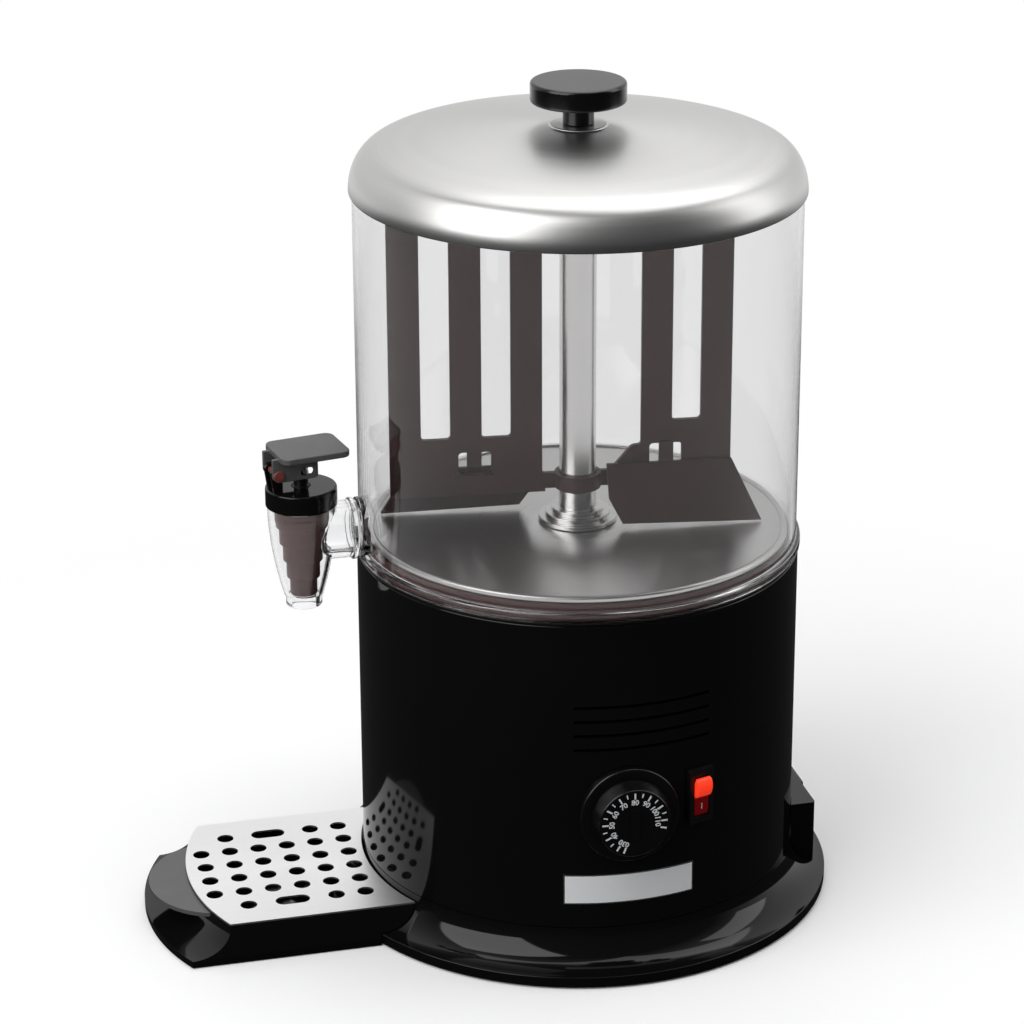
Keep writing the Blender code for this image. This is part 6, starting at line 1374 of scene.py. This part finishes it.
def make_drip_plate():
    half = TRAY_HALF_WIDTH
    front = bowed_front(half, TRAY_CORNER_REACH, TRAY_APEX_REACH)
    turn = math.asin(half / PLATE_INNER_RADIUS)
    back = arc((0, 0), (PLATE_INNER_RADIUS, PLATE_INNER_RADIUS), -QUARTER_TURN + turn, -QUARTER_TURN - turn, 41)
    plate = as_object("perforated_drip_plate", prism_mesh(front + back, PLATE_BOTTOM, PLATE_TOP), COLUMN)
    holes = bmesh.new()
    for row in range(HOLE_ROWS):
        side = (row - (HOLE_ROWS - 1) / 2) * HOLE_PITCH
        edge_row = row in (0, HOLE_ROWS - 1)
        for column in range(HOLE_COLUMNS):
            reach = HOLE_FIRST_REACH + column * HOLE_PITCH
            stretch = 0
            if edge_row and column in (SLOT_FIRST_COLUMN + 1, HOLE_COLUMNS - 1):
                continue
            if edge_row and column == SLOT_FIRST_COLUMN:
                reach += HOLE_PITCH / 2
                stretch = HOLE_PITCH * SLOT_LENGTH_SHARE
            radii = (HOLE_RADIUS, HOLE_RADIUS)
            outline = arc((side, -reach + stretch / 2), radii, 0, math.pi, 17)
            lower = arc((side, -reach - stretch / 2), radii, math.pi, FULL_TURN, 17)
            outline += lower if stretch else lower[1:-1]
            extrude(holes, outline, PLATE_BOTTOM - OVERRUN / 4, PLATE_TOP + OVERRUN)
    changes = [("DIFFERENCE", holes)]
    outer = half - TRAY_WALL - RUNNING_GAP
    for side in (-1, 1):
        edges = sorted((side * outer, side * (outer - PLATE_THICKNESS)))
        low = (edges[0], -PLATE_FLANGE_START - PLATE_FLANGE_LENGTH, PLATE_BOTTOM - PLATE_FLANGE_DEPTH)
        high = (edges[1], -PLATE_FLANGE_START, PLATE_BOTTOM + PLATE_THICKNESS / 2)
        changes.append(("UNION", block_mesh(low, high)))
    carved(plate, COLUMN, changes)
    dressed(plate, drip_steel, "drip_plate", ["drip_plate"], edge=0.00018)


make_base()
make_heater()
make_tap_body(make_jar())
make_tap_top()
make_lid()
make_stirrer()
make_dial()
make_switch()
make_label()
make_box()
make_tray()
make_drip_plate()

# Finishes of the CAD nodes that stay in view
CARRIED = {
    "bottom_plate": plain_steel, "bath_vessel": plain_steel, "heating_element": plain_steel,
    "drive_shaft": pin_steel, "gearbox_output_shaft": pin_steel, "motor_plate": plain_steel,
    "gearbox": plain_steel, "knob_washer": pin_steel, "knob_screw": pin_steel,
    "thermostat_spindle": pin_steel, "column_nut": brass, "lower_bush": brass, "upper_bush": brass,
    "shaft_coupling": brass, "column_seal": rubber, "motor": black_satin,
    "thermostat_body": black_satin, "terminal_block": terminal_white,
}
for number in range(1, 5):
    CARRIED[f"foot_{number}"] = rubber
    CARRIED[f"base_screw_{number}"] = pin_steel
for node, surface in CARRIED.items():
    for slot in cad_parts[node].material_slots:
        slot.material = surface.material

# Floor, world, lamps and camera
CAMERA_AZIMUTH = 1.3144
CAMERA_PITCH = 0.3667
CAMERA_DISTANCE = 1.71849
CAMERA_HEIGHT = 0.90089
CAMERA_FOCAL_PIXELS = 3367.4
CAMERA_ROLL = 0.0025
CAMERA_SHIFT = (-0.0640, -0.0380)
FRAME_PIXELS = 1024
SENSOR = 36.0
# Level direction from the machine to the camera
TOWARD_CAMERA = (0.967, -0.254, 0)
FLOOR_HALF_WIDTH = 6.0
# Radii over which the shaded floor turns plain white for the camera
FLOOR_FADE = (0.26, 0.62)
# Distances toward the camera over which the floor that lights the machine turns dark
FLOOR_DARKENING = (-1.10, -0.75)
# Distances toward the camera over which the floor that gloss mirrors stops being white
MIRRORED_FLOOR_FADE = (-1.6, -0.9)
WORLD_LIGHT = (0.42, 0.42, 0.43)
# Mirrored world behind the machine and on the camera's side, and the directions between them
MIRRORED_WORLD = (0.80, 0.05)
MIRRORED_WORLD_FADE = (-0.45, 0.30)
LAMP_TARGET_HEIGHT = 0.25
# Name, watts, size, azimuth from the camera's side, elevation and distance
LAMPS = (
    ("overhead_box", 12, (1.6, 1.6), math.radians(150), math.radians(72), 1.6),
    ("left_box", 19, (1.3, 1.6), math.radians(-48), math.radians(36), 1.5),
    ("right_box", 4, (0.6, 1.2), math.radians(95), math.radians(25), 1.5),
)


def make_floor():
    corners = [(x * FLOOR_HALF_WIDTH, y * FLOOR_HALF_WIDTH, 0) for x, y in ((-1, -1), (1, -1), (1, 1), (-1, 1))]
    data = bpy.data.meshes.new("floor")
    data.from_pydata(corners, [], [(0, 1, 2, 3)])
    floor = bpy.data.objects.new("floor", data)
    bpy.context.scene.collection.objects.link(floor)
    made = Surface("pale_floor")
    split = made.node("ShaderNodeSeparateXYZ", {"Vector": made.place}).outputs
    reach = made.length_of(split["X"], split["Y"])
    shares = [made.math("MULTIPLY", split[axis], share) for axis, share in zip("XY", TOWARD_CAMERA)]
    toward = made.math("ADD", *shares)
    path = made.node("ShaderNodeLightPath").outputs
    seen = made.math("MAXIMUM", path["Is Camera Ray"], path["Is Transmission Ray"])
    darkness = made.ranged(toward, 0, 1, *FLOOR_DARKENING)
    studio = made.mixed(darkness, (0.55, 0.55, 0.55), (0.030, 0.030, 0.030))
    tone = made.mixed(made.ranged(made.noise(5), 0, 1), (0.955, 0.955, 0.955), (0.975, 0.975, 0.975))
    made.feed("Base Color", made.mixed(seen, studio, tone))
    made.feed("Roughness", made.ranged(made.noise(30), 0.75, 0.9))
    made.fixed(Specular_IOR_Level=0.0)
    white = made.node("ShaderNodeEmission", {"Color": (1, 1, 1, 1), "Strength": 1.0}).outputs[0]
    for_camera = made.math("MULTIPLY", seen, made.ranged(reach, 0, 1, *FLOOR_FADE))
    for_gloss = made.math("MULTIPLY", path["Is Glossy Ray"], made.ranged(toward, 1, 0, *MIRRORED_FLOOR_FADE))
    bright = made.math("MAXIMUM", for_camera, for_gloss)
    blend = made.node("ShaderNodeMixShader", {0: bright, 1: made.shader.outputs[0], 2: white}).outputs[0]
    made.tree.links.new(blend, made.tree.nodes["Material Output"].inputs["Surface"])
    data.materials.append(made.material)


def make_world():
    """White for the camera and through clear plastic, grey as light, directional in gloss."""
    world = bpy.data.worlds.new("studio")
    bpy.context.scene.world = world
    world.use_nodes = True
    made = Graph(world.node_tree)
    path = made.node("ShaderNodeLightPath").outputs
    seen = path["Is Camera Ray"]
    for kind in ("Is Glossy Ray", "Is Transmission Ray"):
        seen = made.math("MAXIMUM", seen, path[kind])
    place = made.node("ShaderNodeTexCoord").outputs["Generated"]
    toward = made.node("ShaderNodeVectorMath", {0: place, 1: TOWARD_CAMERA}, operation="DOT_PRODUCT")
    mirrored = made.ranged(toward.outputs["Value"], *MIRRORED_WORLD, *MIRRORED_WORLD_FADE)
    bright = made.math("MAXIMUM", mirrored, made.math("SUBTRACT", 1.0, path["Is Glossy Ray"]))
    tone = made.mixed(seen, WORLD_LIGHT, bright)
    made.tree.links.new(tone, made.tree.nodes["Background"].inputs["Color"])


def make_light(name, power, size, azimuth, elevation, distance):
    """A soft box that faces the machine. The azimuth is counted from the camera's side."""
    data = bpy.data.lights.new(name, "AREA")
    data.energy = power
    data.shape = "RECTANGLE"
    data.size, data.size_y = size
    light = bpy.data.objects.new(name, data)
    bpy.context.scene.collection.objects.link(light)
    turn = CAMERA_AZIMUTH + azimuth
    flat = math.cos(elevation)
    away = Vector((math.sin(turn) * flat, -math.cos(turn) * flat, math.sin(elevation)))
    light.location = Vector((0, COLUMN_OFFSET, LAMP_TARGET_HEIGHT)) + away * distance
    light.rotation_euler = (-away).to_track_quat("-Z", "Y").to_euler()


def make_camera():
    data = bpy.data.cameras.new("camera")
    camera = bpy.data.objects.new("camera", data)
    bpy.context.scene.collection.objects.link(camera)
    data.sensor_width = SENSOR
    data.lens = CAMERA_FOCAL_PIXELS * SENSOR / FRAME_PIXELS
    data.shift_x, data.shift_y = CAMERA_SHIFT
    side = Vector((math.sin(CAMERA_AZIMUTH), -math.cos(CAMERA_AZIMUTH), 0))
    camera.location = Vector((0, COLUMN_OFFSET, CAMERA_HEIGHT)) + side * CAMERA_DISTANCE
    forward = -side * math.cos(CAMERA_PITCH) - Vector((0, 0, math.sin(CAMERA_PITCH)))
    aim = forward.to_track_quat("-Z", "Y") @ Matrix.Rotation(CAMERA_ROLL, 4, "Z").to_quaternion()
    camera.rotation_euler = aim.to_euler()
    data.clip_end = 50
    bpy.context.scene.camera = camera


make_floor()
make_world()
for lamp in LAMPS:
    make_light(*lamp)
make_camera()

bpy.context.scene.view_settings.view_transform = "Standard"
